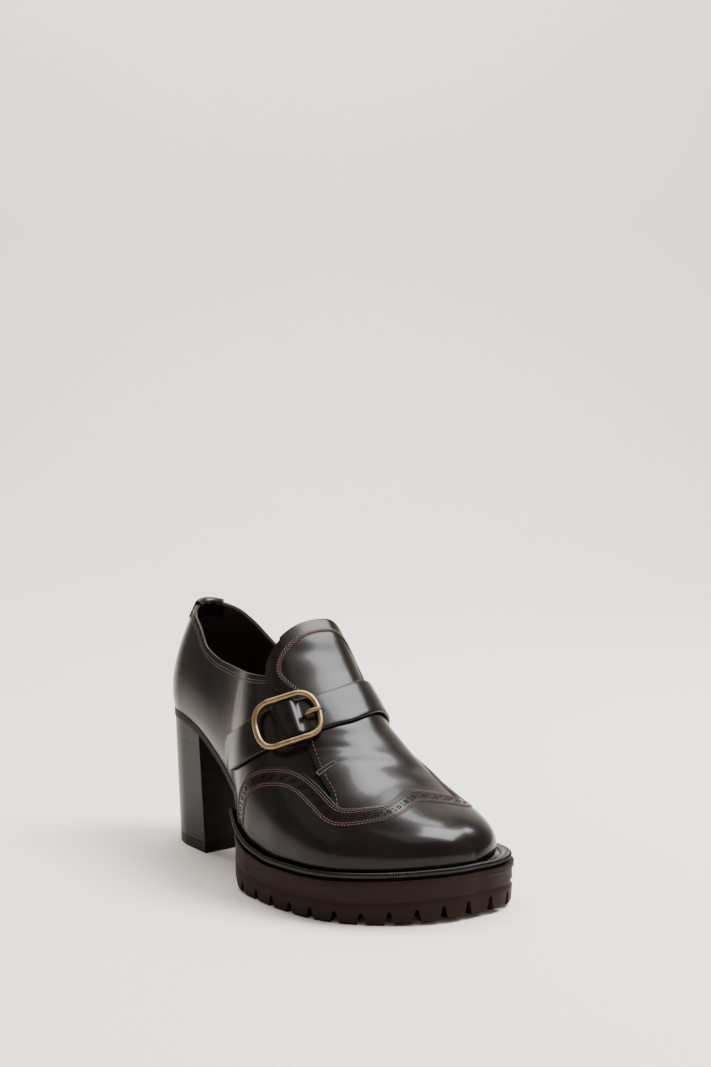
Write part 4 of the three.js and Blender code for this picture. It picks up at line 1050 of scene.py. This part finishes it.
def wire(path, radius, closed, sides=16, flat=1.0):
    """A round wire along a path: circles whose frame is carried from point to point without twist."""
    path = np.asarray(path, float)
    tangent = np.roll(path, -1, 0) - np.roll(path, 1, 0) if closed else np.gradient(path, axis=0)
    tangent /= np.linalg.norm(tangent, axis=1, keepdims=True)
    up = np.cross(tangent, np.cross(ring_normal, tangent))
    up /= np.linalg.norm(up, axis=1, keepdims=True)
    out = np.cross(tangent, up)
    angle = np.linspace(0, 2 * math.pi, sides, endpoint=False)
    radius = np.broadcast_to(radius, len(path))[:, None]
    wide, tall = radius * np.cos(angle), flat * radius * np.sin(angle)
    points = path[:, None] + out[:, None] * wide[..., None] + up[:, None] * tall[..., None]
    faces = grid_faces(len(path), sides, closed=True).tolist()
    if closed:
        last_row = (len(path) - 1) * sides
        faces += [[last_row + k, k, (k + 1) % sides, last_row + (k + 1) % sides] for k in range(sides)]
    else:
        faces.append(list(range(sides))[::-1])
        faces.append([(len(path) - 1) * sides + k for k in range(sides)])
    return points.reshape(-1, 3), faces


# Cast brass, antique-plated: dull gold rubbed bright on its crown, darker where the hand doesn't reach.
def antique_brass(name):
    """Antique brass: dark plating mottled with rubbed plating, and a fine brushing."""
    material, tree, place, shader = start(name)
    cloud, tone = mottled(tree, place, 220.0, 4.0, "#5d4c30", "#978260")
    brush = node(tree, "ShaderNodeTexNoise", {"Scale": 1800.0, "Detail": 2.0}, {"Vector": place})
    scratches = {"Strength": 0.08, "Distance": 0.0002}
    bump = node(tree, "ShaderNodeBump", scratches, {"Height": brush.outputs["Fac"]}).outputs[0]
    gloss = node(tree, "ShaderNodeMapRange", {3: 0.28, 4: 0.45}, {0: cloud}).outputs[0]
    dress(shader, {"Metallic": 1.0}, {"Base Color": tone, "Roughness": gloss, "Normal": bump})
    return material


brass = antique_brass("antique-plated cast brass")
ring_half = RING_LENGTH / 2 - RING_WIRE / 2
ring_wide = STRAP_WIDTH / 2 + 1.8 + RING_DROP
angle = np.linspace(-math.pi / 2, math.pi / 2, 41)
end_x, end_b = superellipse(np.abs(angle), RING_SQUARE)
end_x, end_b = ring_half - RING_END + RING_END * end_x, ring_wide * end_b * np.sign(angle)
ring_x, ring_b = np.concatenate([end_x, -end_x]), np.concatenate([end_b, -end_b])
ring_x, ring_b = np.append(ring_x, ring_x[0]), np.append(ring_b, ring_b[0])
ring_path = respace(on_ring(ring_x, ring_b, RING_LIFT + 0 * ring_x), 1.2)[:-1]
bar_out = STRAP_WIDTH / 2 + 0.5 + BAR_WIRE / 2
bar_share = np.linspace(-1, 1, 13)
bar_target = ring_centre + ring_side * (bar_share * bar_out)[:, None]
bar_t, bar_q = settle(bar_target, ring_t + 0 * bar_share, ring_q + 0 * bar_share)
bar_path = skin(bar_t, bar_q, strap_lift(0.0, bar_q) - 2.2 * GAP - BAR_WIRE / 2)
bar_ends = [on_ring([0.0], [way * ring_wide], [RING_LIFT]) for way in (-1, 1)]
bar_path = np.concatenate([bar_ends[0], bar_path, bar_ends[1]])
points, faces = join([wire(ring_path, RING_WIRE / 2, True, 20), wire(bar_path, BAR_WIRE / 2, False, 10)])
piece("ring_buckle", to_frame(points), faces, brass, ["buckle"], smooth=50)
PRONG_ROOT = 9.4
prong_x = np.array([PRONG_ROOT, PRONG_ROOT + 0.2, PRONG_ROOT + 1.6, PRONG_ROOT + 4.6, RING_LENGTH / 2 - 0.4])
over_ring = RING_LIFT + RING_WIRE / 2 + 1.5
prong_up = np.array([VAMP_TOP + 1.9, STRAP_TOP + 0.6, RING_LIFT + 0.6, RING_LIFT + 2.5, over_ring])
fine = np.linspace(0, 4, 26)
prong_line = np.stack([smooth_through(np.arange(5), v)(fine) for v in (prong_x, prong_up)], axis=-1)
prong_path = on_ring(prong_line[:, 0], 0 * fine, prong_line[:, 1])
points, faces = wire(prong_path, 1.4 - 0.35 * fine / 4, False, 14, 0.75)
piece("buckle_pin", to_frame(points), faces, brass, ["prong"], smooth=50)

# The tab at the heel back: a strip of the same leather folded over the collar and sewn through.
TAB_HALF = 0.5
TAB_THICK = 0.9
TAB_GAP = 0.5
TAB_OUT = 15
TAB_IN = 8
tab_share = np.linspace(-1, 1, 61)
tab_t = np.abs(tab_share) * TAB_HALF
tab_side = np.where(tab_share < 0, -1, 1)
rim_along = np.array([read_grid(last_grid, t, 0.6 * s)[0] for t, s in zip(tab_t, tab_side)])
rim_up = collar_height(rim_along)
tab_drop = TAB_OUT * (1 - 0.45 * tab_share**2)


def tab_girth(up):
    """The girth shares of the tab's columns at a height for each."""
    both = [girth_at(tab_t, side, lambda _: up[:, None]) for side in (-1, 1)]
    return np.where(tab_side < 0, *both)


def tab_column(extra):
    """The tab's layer at a distance off the collar: down the outside, over the rim and down the inside."""
    parts = []
    for down in np.linspace(1, 0, 10):
        q = tab_girth(rim_up - tab_drop * down)
        parts.append(skin(tab_t, q, TAB_GAP + extra + 0 * q))
    q = tab_girth(rim_up)
    reach = UPPER_WALL / 2 + TAB_GAP + extra
    for turn in np.linspace(0, math.pi, 8)[1:-1]:
        p = skin(tab_t, q, reach * math.cos(turn) - UPPER_WALL / 2 + 0 * q)
        p[:, 2] += (reach - 0.2) * math.sin(turn)
        parts.append(p)
    for down in np.linspace(0, 1, 6):
        q = tab_girth(rim_up - TAB_IN * down)
        parts.append(skin(tab_t, q, -UPPER_WALL - TAB_GAP - extra + 0 * q))
    return np.stack(parts, axis=1)


tab_profile = np.concatenate([tab_column(TAB_THICK), tab_column(0.0)[:, ::-1]], axis=1)
tab_faces = grid_faces(*tab_profile.shape[:2], closed=True).tolist()
tab_columns = tab_profile.shape[1]
for row in (0, len(tab_share) - 1):
    outer, inner = row * tab_columns, (row + 1) * tab_columns - 1
    strips = range(tab_columns // 2 - 1)
    tab_faces += [[outer + k, outer + k + 1, inner - 1 - k, inner - k] for k in strips]
piece("heel_back_tab", to_frame(tab_profile), tab_faces, leather, ["back_tab"], smooth=50)

tab_rows = []
for down in (0.16, 0.84):
    tab_row = np.stack([tab_t, tab_girth(rim_up - tab_drop * down)], axis=-1)[3:-3]
    tab_rows.append(scatter(sites(tab_row, TAB_GAP + TAB_THICK + 0.08, 1.9), *stitch_shape(1.5, 0.25)))
points, faces = join(tab_rows)
piece("tab_stitches", to_frame(points), faces, brown_thread, smooth=80)

# The welt: a moulded strip with a glossy bead of fine upright ribs, stitched round the forefoot between
# the upper and the platform.
WELT_END = 0.475
SOLE_MARGIN = 6
MEDIAL_MORE = 0.54
CORNER_MORE = 0.96
WELT_HEIGHT = 3.2
RIB_PITCH = 1.35


def spread(t, side):
    """How much wider the sole's margin is: more on the medial side, most towards the big toe's corner."""
    na, nc = outward(t, side)
    return 1 + np.maximum(0, nc) * (MEDIAL_MORE + CORNER_MORE * np.maximum(0, na))


def rim_points(t, side, margin):
    """Points of the bottom edge moved outwards in plan by margins, [along, across]."""
    along, across = edge(t, side)
    na, nc = outward(t, side)
    wider = np.where(margin > 1, margin * spread(t, side), margin)
    return along + na * wider, across + nc * wider


def walk(from_t, gap):
    """Stations and sides round the front from the lateral to the medial side, evenly spaced in plan."""
    fine = np.concatenate([np.linspace(from_t, 3, 1500), np.linspace(3, from_t, 1500)[1:]])
    sides = np.concatenate([-np.ones(1500), np.ones(1499)])
    line = np.stack(rim_points(fine, sides, np.full(2999, float(SOLE_MARGIN))), axis=-1)
    run = along_line(line)
    want = np.linspace(0, run[-1], int(run[-1] / gap))
    pick = np.interp(want, run, np.where(sides < 0, fine - 3, 3 - fine))
    return 3 - np.abs(pick), np.where(pick < 0, -1, 1), want


welt_t, welt_side, welt_run = walk(float(station_of(WELT_END * UPPER_LENGTH)), RIB_PITCH / 6)
bead = np.linspace(-0.35 * math.pi, 1.0 * math.pi, 11)
BEAD_MIDDLE, BEAD_LEVEL, BEAD_WIDE, BEAD_TALL = 4.15, -1.35, 1.45, 1.75
bead_reach = np.concatenate([[-3.0, 4.8], BEAD_MIDDLE + BEAD_WIDE * np.cos(bead), [2.4, -3.0]])
bead_rise = np.concatenate([[-3.5, -3.5], BEAD_LEVEL + BEAD_TALL * np.sin(bead), [-0.4, -0.4]])
on_bead = np.concatenate([[0, 0], np.clip(np.sin(bead * 0.85 + 0.75), 0, 1), [0, 0]])
rib = 0.34 * np.abs(np.sin(math.pi * welt_run / RIB_PITCH)) - 0.1
reach = bead_reach[None, :] + rib[:, None] * on_bead[None, :]
wa, wc = rim_points(welt_t[:, None], welt_side[:, None], reach)
welt_up = seat_height(wa) + bead_rise[None, :] + rib[:, None] * 0.5 * on_bead[None, :]
welt_profile = np.stack([wa, wc, welt_up], axis=-1)
welt_faces = capped_faces(*welt_profile.shape[:2])
welt_gloss = polished_leather("waxed welt strip", "#070504", "#0f0a08", rough=0.22, coat=0.1, grain=0.02)
piece("ribbed_welt", to_frame(welt_profile), welt_faces, welt_gloss, ["welt"], smooth=70)

# The platform: one moulding of dark brown rubber, satin, with a thin lip under the welt, a shallow
# groove round its side, and lugs cut up into it from the ground.
SEAT_LAYER = 4
UNDER_ROWS = [
    [0.42, 0.5],
    [0.45, 0.365],
    [0.48, 0.225],
    [0.505, 0.12],
    [0.53, 0.045],
    [0.555, 0.01],
    [0.58, 0.0],
    [0.9, 0.0],
    [0.95, 0.012],
    [1.03, 0.045],
]
WALL_ROWS = [
    [0.0, 0.8],
    [0.03, 0.9],
    [0.08, 0.94],
    [0.4, 0.98],
    [0.44, 0.93],
    [0.5, 0.88],
    [0.54, 0.93],
    [0.58, 0.98],
    [0.83, 0.97],
    [0.85, 0.99],
    [0.87, 1.05],
    [0.98, 1.06],
    [1.0, 1.03],
]
under = smooth_through(*np.array(UNDER_ROWS).T)


def seat_under(along):
    """The level of the seat layer's underside, where the heel begins."""
    return seat_height(along) - GAP - SEAT_LAYER


def sole_under(along):
    """The sole's lowest level: under the seat at the heel and waist, and the tread's own line ahead."""
    at = along / UPPER_LENGTH
    tread = SEAT_HEIGHT * under(at) + 60 * ease((0.42 - at) / 0.04)
    return np.where(at < 0.38, seat_under(along), np.minimum(seat_under(along), tread))


sole_t = np.concatenate(
    [
        np.linspace(0, 1, 24)[:-1],
        np.linspace(1, float(station_of((WELT_END - 0.006) * UPPER_LENGTH)), 44),
        np.linspace(float(station_of((WELT_END - 0.002) * UPPER_LENGTH)), 2, 60)[:-1],
        np.linspace(2, 3, 60),
    ]
)
sole_along = station(sole_t)[0]
welted = sole_along / UPPER_LENGTH > WELT_END - 0.004
platform = ease((sole_along / UPPER_LENGTH - 0.43) / 0.13)
wall = np.array(WALL_ROWS)
levels = []
for side in (-1, 1):
    margin = 0.3 + platform[:, None] * (wall[None, :, 1] * SOLE_MARGIN - 0.3)
    wall_a, wall_c = rim_points(sole_t[:, None], side, margin)
    low = sole_under(sole_along)[:, None]
    top = seat_height(wall_a) - GAP - np.where(welted, WELT_HEIGHT + GAP, 0.0)[:, None]
    wall_up = low + (top - low) * wall[None, :, 0]
    top_a, top_c = rim_points(sole_t[:, None], side, np.full((len(sole_t), 1), -3.4))
    top_up = seat_height(top_a) - GAP - np.where(welted, WELT_HEIGHT + GAP, 0.0)[:, None]
    side_wall = np.stack([wall_a, wall_c, wall_up], axis=-1)
    levels.append(np.concatenate([side_wall, np.stack([top_a, top_c, top_up], axis=-1)], axis=1))
fill = np.linspace(0, 1, 8)[1:-1][None, :, None]
lower = levels[0][:, :1] * (1 - fill) + levels[1][:, :1] * fill
upper_row = levels[1][:, -1:] * (1 - fill) + levels[0][:, -1:] * fill
sole_profile = np.concatenate([levels[0][:, ::-1], lower, levels[1], upper_row], axis=1)


def rubber(name, deep, warm, rough):
    """Moulded rubber: satin with a soft mottled bloom and the mould's fine spark-eroded grain."""
    material, tree, place, shader = start(name)
    cloud, tone = mottled(tree, place, 70.0, 5.0, deep, warm)
    fine = node(tree, "ShaderNodeTexNoise", {"Scale": 1500.0, "Detail": 3.0}, {"Vector": place})
    eroded = {"Strength": 0.15, "Distance": 0.0003}
    bump = node(tree, "ShaderNodeBump", eroded, {"Height": fine.outputs["Fac"]}).outputs[0]
    gloss = node(tree, "ShaderNodeMapRange", {3: rough - 0.06, 4: rough + 0.1}, {0: cloud}).outputs[0]
    satin = {"IOR": 1.4, "Specular IOR Level": 0.14}
    dress(shader, satin, {"Base Color": tone, "Roughness": gloss, "Normal": bump})
    return material


sole_rubber = rubber("moulded brown rubber", "#160d09", "#20140e", 0.55)
LUG_PITCH = 13.8
NOTCH_FOOT = 4.7
NOTCH_TOP = 1.6
NOTCH_HEIGHT = 6
NOTCH_REACH = 15
NOTCH_START = 3
LUGS_FROM = 0.56
INNER_LUGS_FROM = 0.585
INNER_LUGS = 6
INNER_INSET = 14
INNER_FOOT, INNER_TOP, INNER_HEIGHT = 4.4, 3.2, 4.6


def wedge(along, across, da, dc, length, foot, head, height):
    """Blocks, each from a centre in a plan direction, wide at its foot and narrow at its head."""
    sa, sc = -dc, da
    corners = []
    for up, wide in ((-2.0 + 0 * height, foot * 1.3), (height, head)):
        for along_by, side_by in ((0, -0.5), (1, -0.5), (1, 0.5), (0, 0.5)):
            far, aside = along_by * length, side_by * wide
            corner = [along + far * da + aside * sa, across + far * dc + aside * sc, up]
            corners.append(np.stack(corner, axis=-1))
    return np.stack(corners, axis=1)


WEDGE_FACES = [[0, 3, 2, 1], [4, 5, 6, 7], [0, 1, 5, 4], [1, 2, 6, 5], [2, 3, 7, 6], [3, 0, 4, 7]]
cutters = []
for side in (-1, 1):
    back_t = np.arange(3, 1.5, -0.002)
    back_t = back_t[station(back_t)[0] > LUGS_FROM * UPPER_LENGTH]
    line = np.stack(rim_points(back_t, side, np.full(len(back_t), float(SOLE_MARGIN))), axis=-1)
    run = along_line(line) + LUG_PITCH / 2
    notch_t = np.interp(np.arange(LUG_PITCH, run[-1], LUG_PITCH), run, back_t)
    na, nc = outward(notch_t, side)
    fa, fc = rim_points(notch_t, side, np.full(len(notch_t), float(SOLE_MARGIN + NOTCH_START)))
    foot_a, _ = rim_points(notch_t, side, np.full(len(notch_t), float(SOLE_MARGIN)))
    one = np.ones(len(notch_t))
    notch_head = NOTCH_HEIGHT + sole_under(foot_a)
    sizes = [one * v for v in (NOTCH_REACH + NOTCH_START, NOTCH_FOOT, NOTCH_TOP)]
    cutters.append(wedge(fa, fc, -na, -nc, *sizes, notch_head))
inner_along = INNER_LUGS_FROM * UPPER_LENGTH + np.arange(INNER_LUGS) * LUG_PITCH
toe_share = np.clip((inner_along - UPPER_LENGTH + TOE_ROUND) / TOE_ROUND, 0, 1)
inner_t = np.where(toe_share == 0, station_of(inner_along), 3 - 2 / math.pi * np.arccos(toe_share))
low_c, high_c = edge(inner_t, -1)[1] + INNER_INSET, edge(inner_t, 1)[1] - INNER_INSET
one = np.ones(INNER_LUGS)
sizes = [one * v for v in (INNER_FOOT, INNER_TOP, INNER_HEIGHT)]
cutters.append(wedge(inner_along, low_c, 0 * one, one, high_c - low_c, *sizes))
cutter_points = np.concatenate(cutters)
cutter_faces = (np.array(WEDGE_FACES)[None] + np.arange(len(cutter_points))[:, None, None] * 8).reshape(-1, 4)


def cut_away(made, points, faces):
    """Takes the blocks away from a finished piece with one boolean, and applies it."""
    mesh = bpy.data.meshes.new("lug_cutters")
    mesh.from_pydata(points.reshape(-1, 3).tolist(), [], faces.tolist())
    tool = bpy.data.objects.new("lug_cutters", mesh)
    bpy.context.scene.collection.objects.link(tool)
    cut = made.modifiers.new("cut", "BOOLEAN")
    cut.operation = "DIFFERENCE"
    cut.solver = "EXACT"
    cut.use_self = True
    cut.object = tool
    bpy.context.view_layer.update()
    ready = bpy.data.meshes.new_from_object(made.evaluated_get(bpy.context.evaluated_depsgraph_get()))
    made.modifiers.clear()
    made.data = ready
    bpy.data.objects.remove(tool)
    bpy.context.view_layer.objects.active = made
    made.select_set(True)
    bpy.ops.object.shade_smooth_by_angle(angle=math.radians(30))
    made.select_set(False)


sole_faces = grid_faces(*sole_profile.shape[:2], closed=True)
sole_points = to_frame(sole_profile)
sole = piece("lugged_platform", sole_points, sole_faces, sole_rubber, ["outsole"], smooth=30)
cut_away(sole, to_frame(cutter_points), cutter_faces)

# The heel: a block of stacked board, stained and polished, with its layers showing as fine level lines.
# The breast is flat and the back is round. Under it a thinner rubber top lift meets the ground.
TIP_HEIGHT = 6
BREAST_TOP = 51
HEEL_BACK_LOW = 3
BREAST_LOW = 55
HEEL_NARROW = 0.93
heel_t = np.concatenate([np.linspace(0, 1, 40), station_of(np.linspace(HEEL_ROUND, BREAST_TOP, 8)[1:])])


def heel_level(up):
    """The heel's outline at a height, lateral rail then medial: a share of the way from ground to seat."""
    rails = []
    for side in (-1, 1):
        along, across = rim_points(heel_t, side, np.full(len(heel_t), -0.2))
        high = seat_under(along) - GAP
        share = np.ones(len(heel_t)) if up is None else up / high
        here = high if up is None else up + 0 * high
        low_a = HEEL_BACK_LOW + along * (BREAST_LOW - HEEL_BACK_LOW) / BREAST_TOP
        low_c = across * HEEL_NARROW
        rail = [low_a + (along - low_a) * share, low_c + (across - low_c) * share, here]
        rails.append(np.stack(rail, axis=-1))
    return np.concatenate([rails[0], rails[1][:0:-1]])


def block(levels):
    """A closed block from outlines stacked from the ground up."""
    return np.stack(levels), capped_faces(len(levels), len(levels[0]))


def stacked_board(name):
    """Stacked leather board: layers 3.4 mm thick of mixed tones, each with a fine dark line under it."""
    material, tree, place, shader = start(name)
    split = node(tree, "ShaderNodeSeparateXYZ", None, {0: place})
    wander = node(tree, "ShaderNodeTexNoise", {"Scale": 25.0, "Detail": 2.0}, {"Vector": place})
    uneven = {0: wander.outputs["Fac"], 2: split.outputs["Z"]}
    bend = node(tree, "ShaderNodeMath", {".operation": "MULTIPLY_ADD", 1: 0.0006}, uneven)
    counted = {".operation": "MULTIPLY", 1: 1 / 0.0034}
    layer = node(tree, "ShaderNodeMath", counted, {0: bend.outputs[0]}).outputs[0]
    phase = node(tree, "ShaderNodeMath", {".operation": "FRACT"}, {0: layer})
    line = node(tree, "ShaderNodeMapRange", {1: 0.0, 2: 0.14, 3: 0.0, 4: 1.0}, {0: phase.outputs[0]})
    index = node(tree, "ShaderNodeMath", {".operation": "FLOOR"}, {0: layer})
    each = node(tree, "ShaderNodeTexWhiteNoise", {".noise_dimensions": "1D"}, {"W": index.outputs[0]})
    cloud = node(tree, "ShaderNodeTexNoise", {"Scale": 90.0, "Detail": 4.0}, {"Vector": place})
    mixed = {0: each.outputs["Value"], 1: cloud.outputs["Fac"]}
    blend = node(tree, "ShaderNodeMath", {".operation": "MULTIPLY"}, mixed)
    board = {".data_type": "RGBA", 6: linear("#0f0a08"), 7: linear("#1e1612")}
    tone = node(tree, "ShaderNodeMix", board, {0: blend.outputs[0]})
    glue = {".data_type": "RGBA", 6: linear("#0b0706")}
    lined = node(tree, "ShaderNodeMix", glue, {0: line.outputs[0], 7: tone.outputs[2]})
    groove = {"Strength": 0.35, "Distance": 0.0002}
    bump = node(tree, "ShaderNodeBump", groove, {"Height": line.outputs[0]})
    edge_polish = {"Roughness": 0.36, "Specular IOR Level": 0.12}
    dress(shader, edge_polish, {"Base Color": lined.outputs[2], "Normal": bump.outputs[0]})
    return material


SOFTENED = 0.6
TIP_SOFTENED = 0.5
heel_levels = [heel_level(TIP_HEIGHT), heel_level(TIP_HEIGHT + SOFTENED), heel_level(None)]
points, faces = block(heel_levels)
board = stacked_board("stained stacked leather board")
piece("stacked_heel", to_frame(points), faces, board, ["heel"], smooth=35)
points, faces = block([heel_level(0.0), heel_level(TIP_SOFTENED), heel_level(TIP_HEIGHT - GAP)])
tip_rubber = rubber("dark rubber top lift", "#0f0a08", "#1a1310", 0.42)
piece("top_lift", to_frame(points), faces, tip_rubber, ["heel_tip"], smooth=35)


# The studio: a plain pale floor that runs up into a pale backdrop, lit by large soft lights.
def studio_paint():
    """Matt paint, a warm white with a very faint mottle."""
    material, tree, place, shader = start("matt studio paint")
    _, tone = mottled(tree, place, 3.0, 2.0, "#eee6de", "#f0e9e2")
    dress(shader, {"Roughness": 0.8, "Specular IOR Level": 0.2}, {"Base Color": tone})
    return material


toward = np.array([math.sin(math.radians(-CAMERA_PAN)), math.cos(math.radians(CAMERA_PAN))])
FLOOR_HALF, FLOOR_BACK, COVE = 8.0, 1.6, 0.8
bend = np.linspace(0, math.pi / 2, 20)
reach_back = np.concatenate([[-8.0], FLOOR_BACK + COVE * np.sin(bend), [FLOOR_BACK + COVE]])
rise = np.concatenate([[0.0], COVE * (1 - np.cos(bend)), [4.0]])
across_floor = np.array([-FLOOR_HALF, FLOOR_HALF])
floor_points = np.stack(
    [
        reach_back[:, None] * toward[0] + across_floor[None, :] * toward[1],
        reach_back[:, None] * toward[1] - across_floor[None, :] * toward[0],
        rise[:, None] + 0 * across_floor[None, :],
    ],
    axis=-1,
)
floor_mesh = bpy.data.meshes.new("floor")
floor_mesh.from_pydata(floor_points.reshape(-1, 3).tolist(), [], grid_faces(*floor_points.shape[:2]).tolist())
floor = bpy.data.objects.new("floor", floor_mesh)
bpy.context.scene.collection.objects.link(floor)
floor_mesh.materials.append(studio_paint())
floor_mesh.shade_smooth()


def softbox(name, place, aim, wide, tall, watts, colour="#ffffff"):
    """An area light at a place, turned to an aim."""
    data = bpy.data.lights.new(name, "AREA")
    data.shape = "RECTANGLE"
    data.size, data.size_y = wide, tall
    data.energy = watts
    data.color = linear(colour)[:3]
    light = bpy.data.objects.new(name, data)
    light.location = place
    light.rotation_euler = (Vector(aim) - Vector(place)).to_track_quat("-Z", "Y").to_euler()
    bpy.context.scene.collection.objects.link(light)
    return light


SHOE_MIDDLE = np.array([0.0, -0.09, 0.07])


def around_shoe(azimuth, elevation, distance):
    """A place at an azimuth from the toe's direction towards the medial side, an elevation and a distance."""
    a, e = math.radians(azimuth), math.radians(elevation)
    way = np.array([math.sin(a) * math.cos(e), -math.cos(a) * math.cos(e), math.sin(e)])
    return SHOE_MIDDLE + distance * way


softbox("key softbox", around_shoe(55, 58, 1.6), SHOE_MIDDLE, 0.72, 0.8, 58)
softbox("side softbox", around_shoe(-100, 40, 1.6), SHOE_MIDDLE, 1.3, 0.9, 2)
softbox("front fill", around_shoe(5, 66, 2.2), SHOE_MIDDLE, 1.0, 1.0, 6)
back_wall = [toward[0] * 2.3, toward[1] * 2.3, 0.7]
softbox("backdrop wash", (toward[0] * 1.2, toward[1] * 1.2, 3.0), back_wall, 3.0, 0.8, 150)
world = bpy.data.worlds.new("studio walls")
bpy.context.scene.world = world
world.use_nodes = True
world.node_tree.nodes["Background"].inputs["Color"].default_value = linear("#e9e4df")
world.node_tree.nodes["Background"].inputs["Strength"].default_value = 0.7
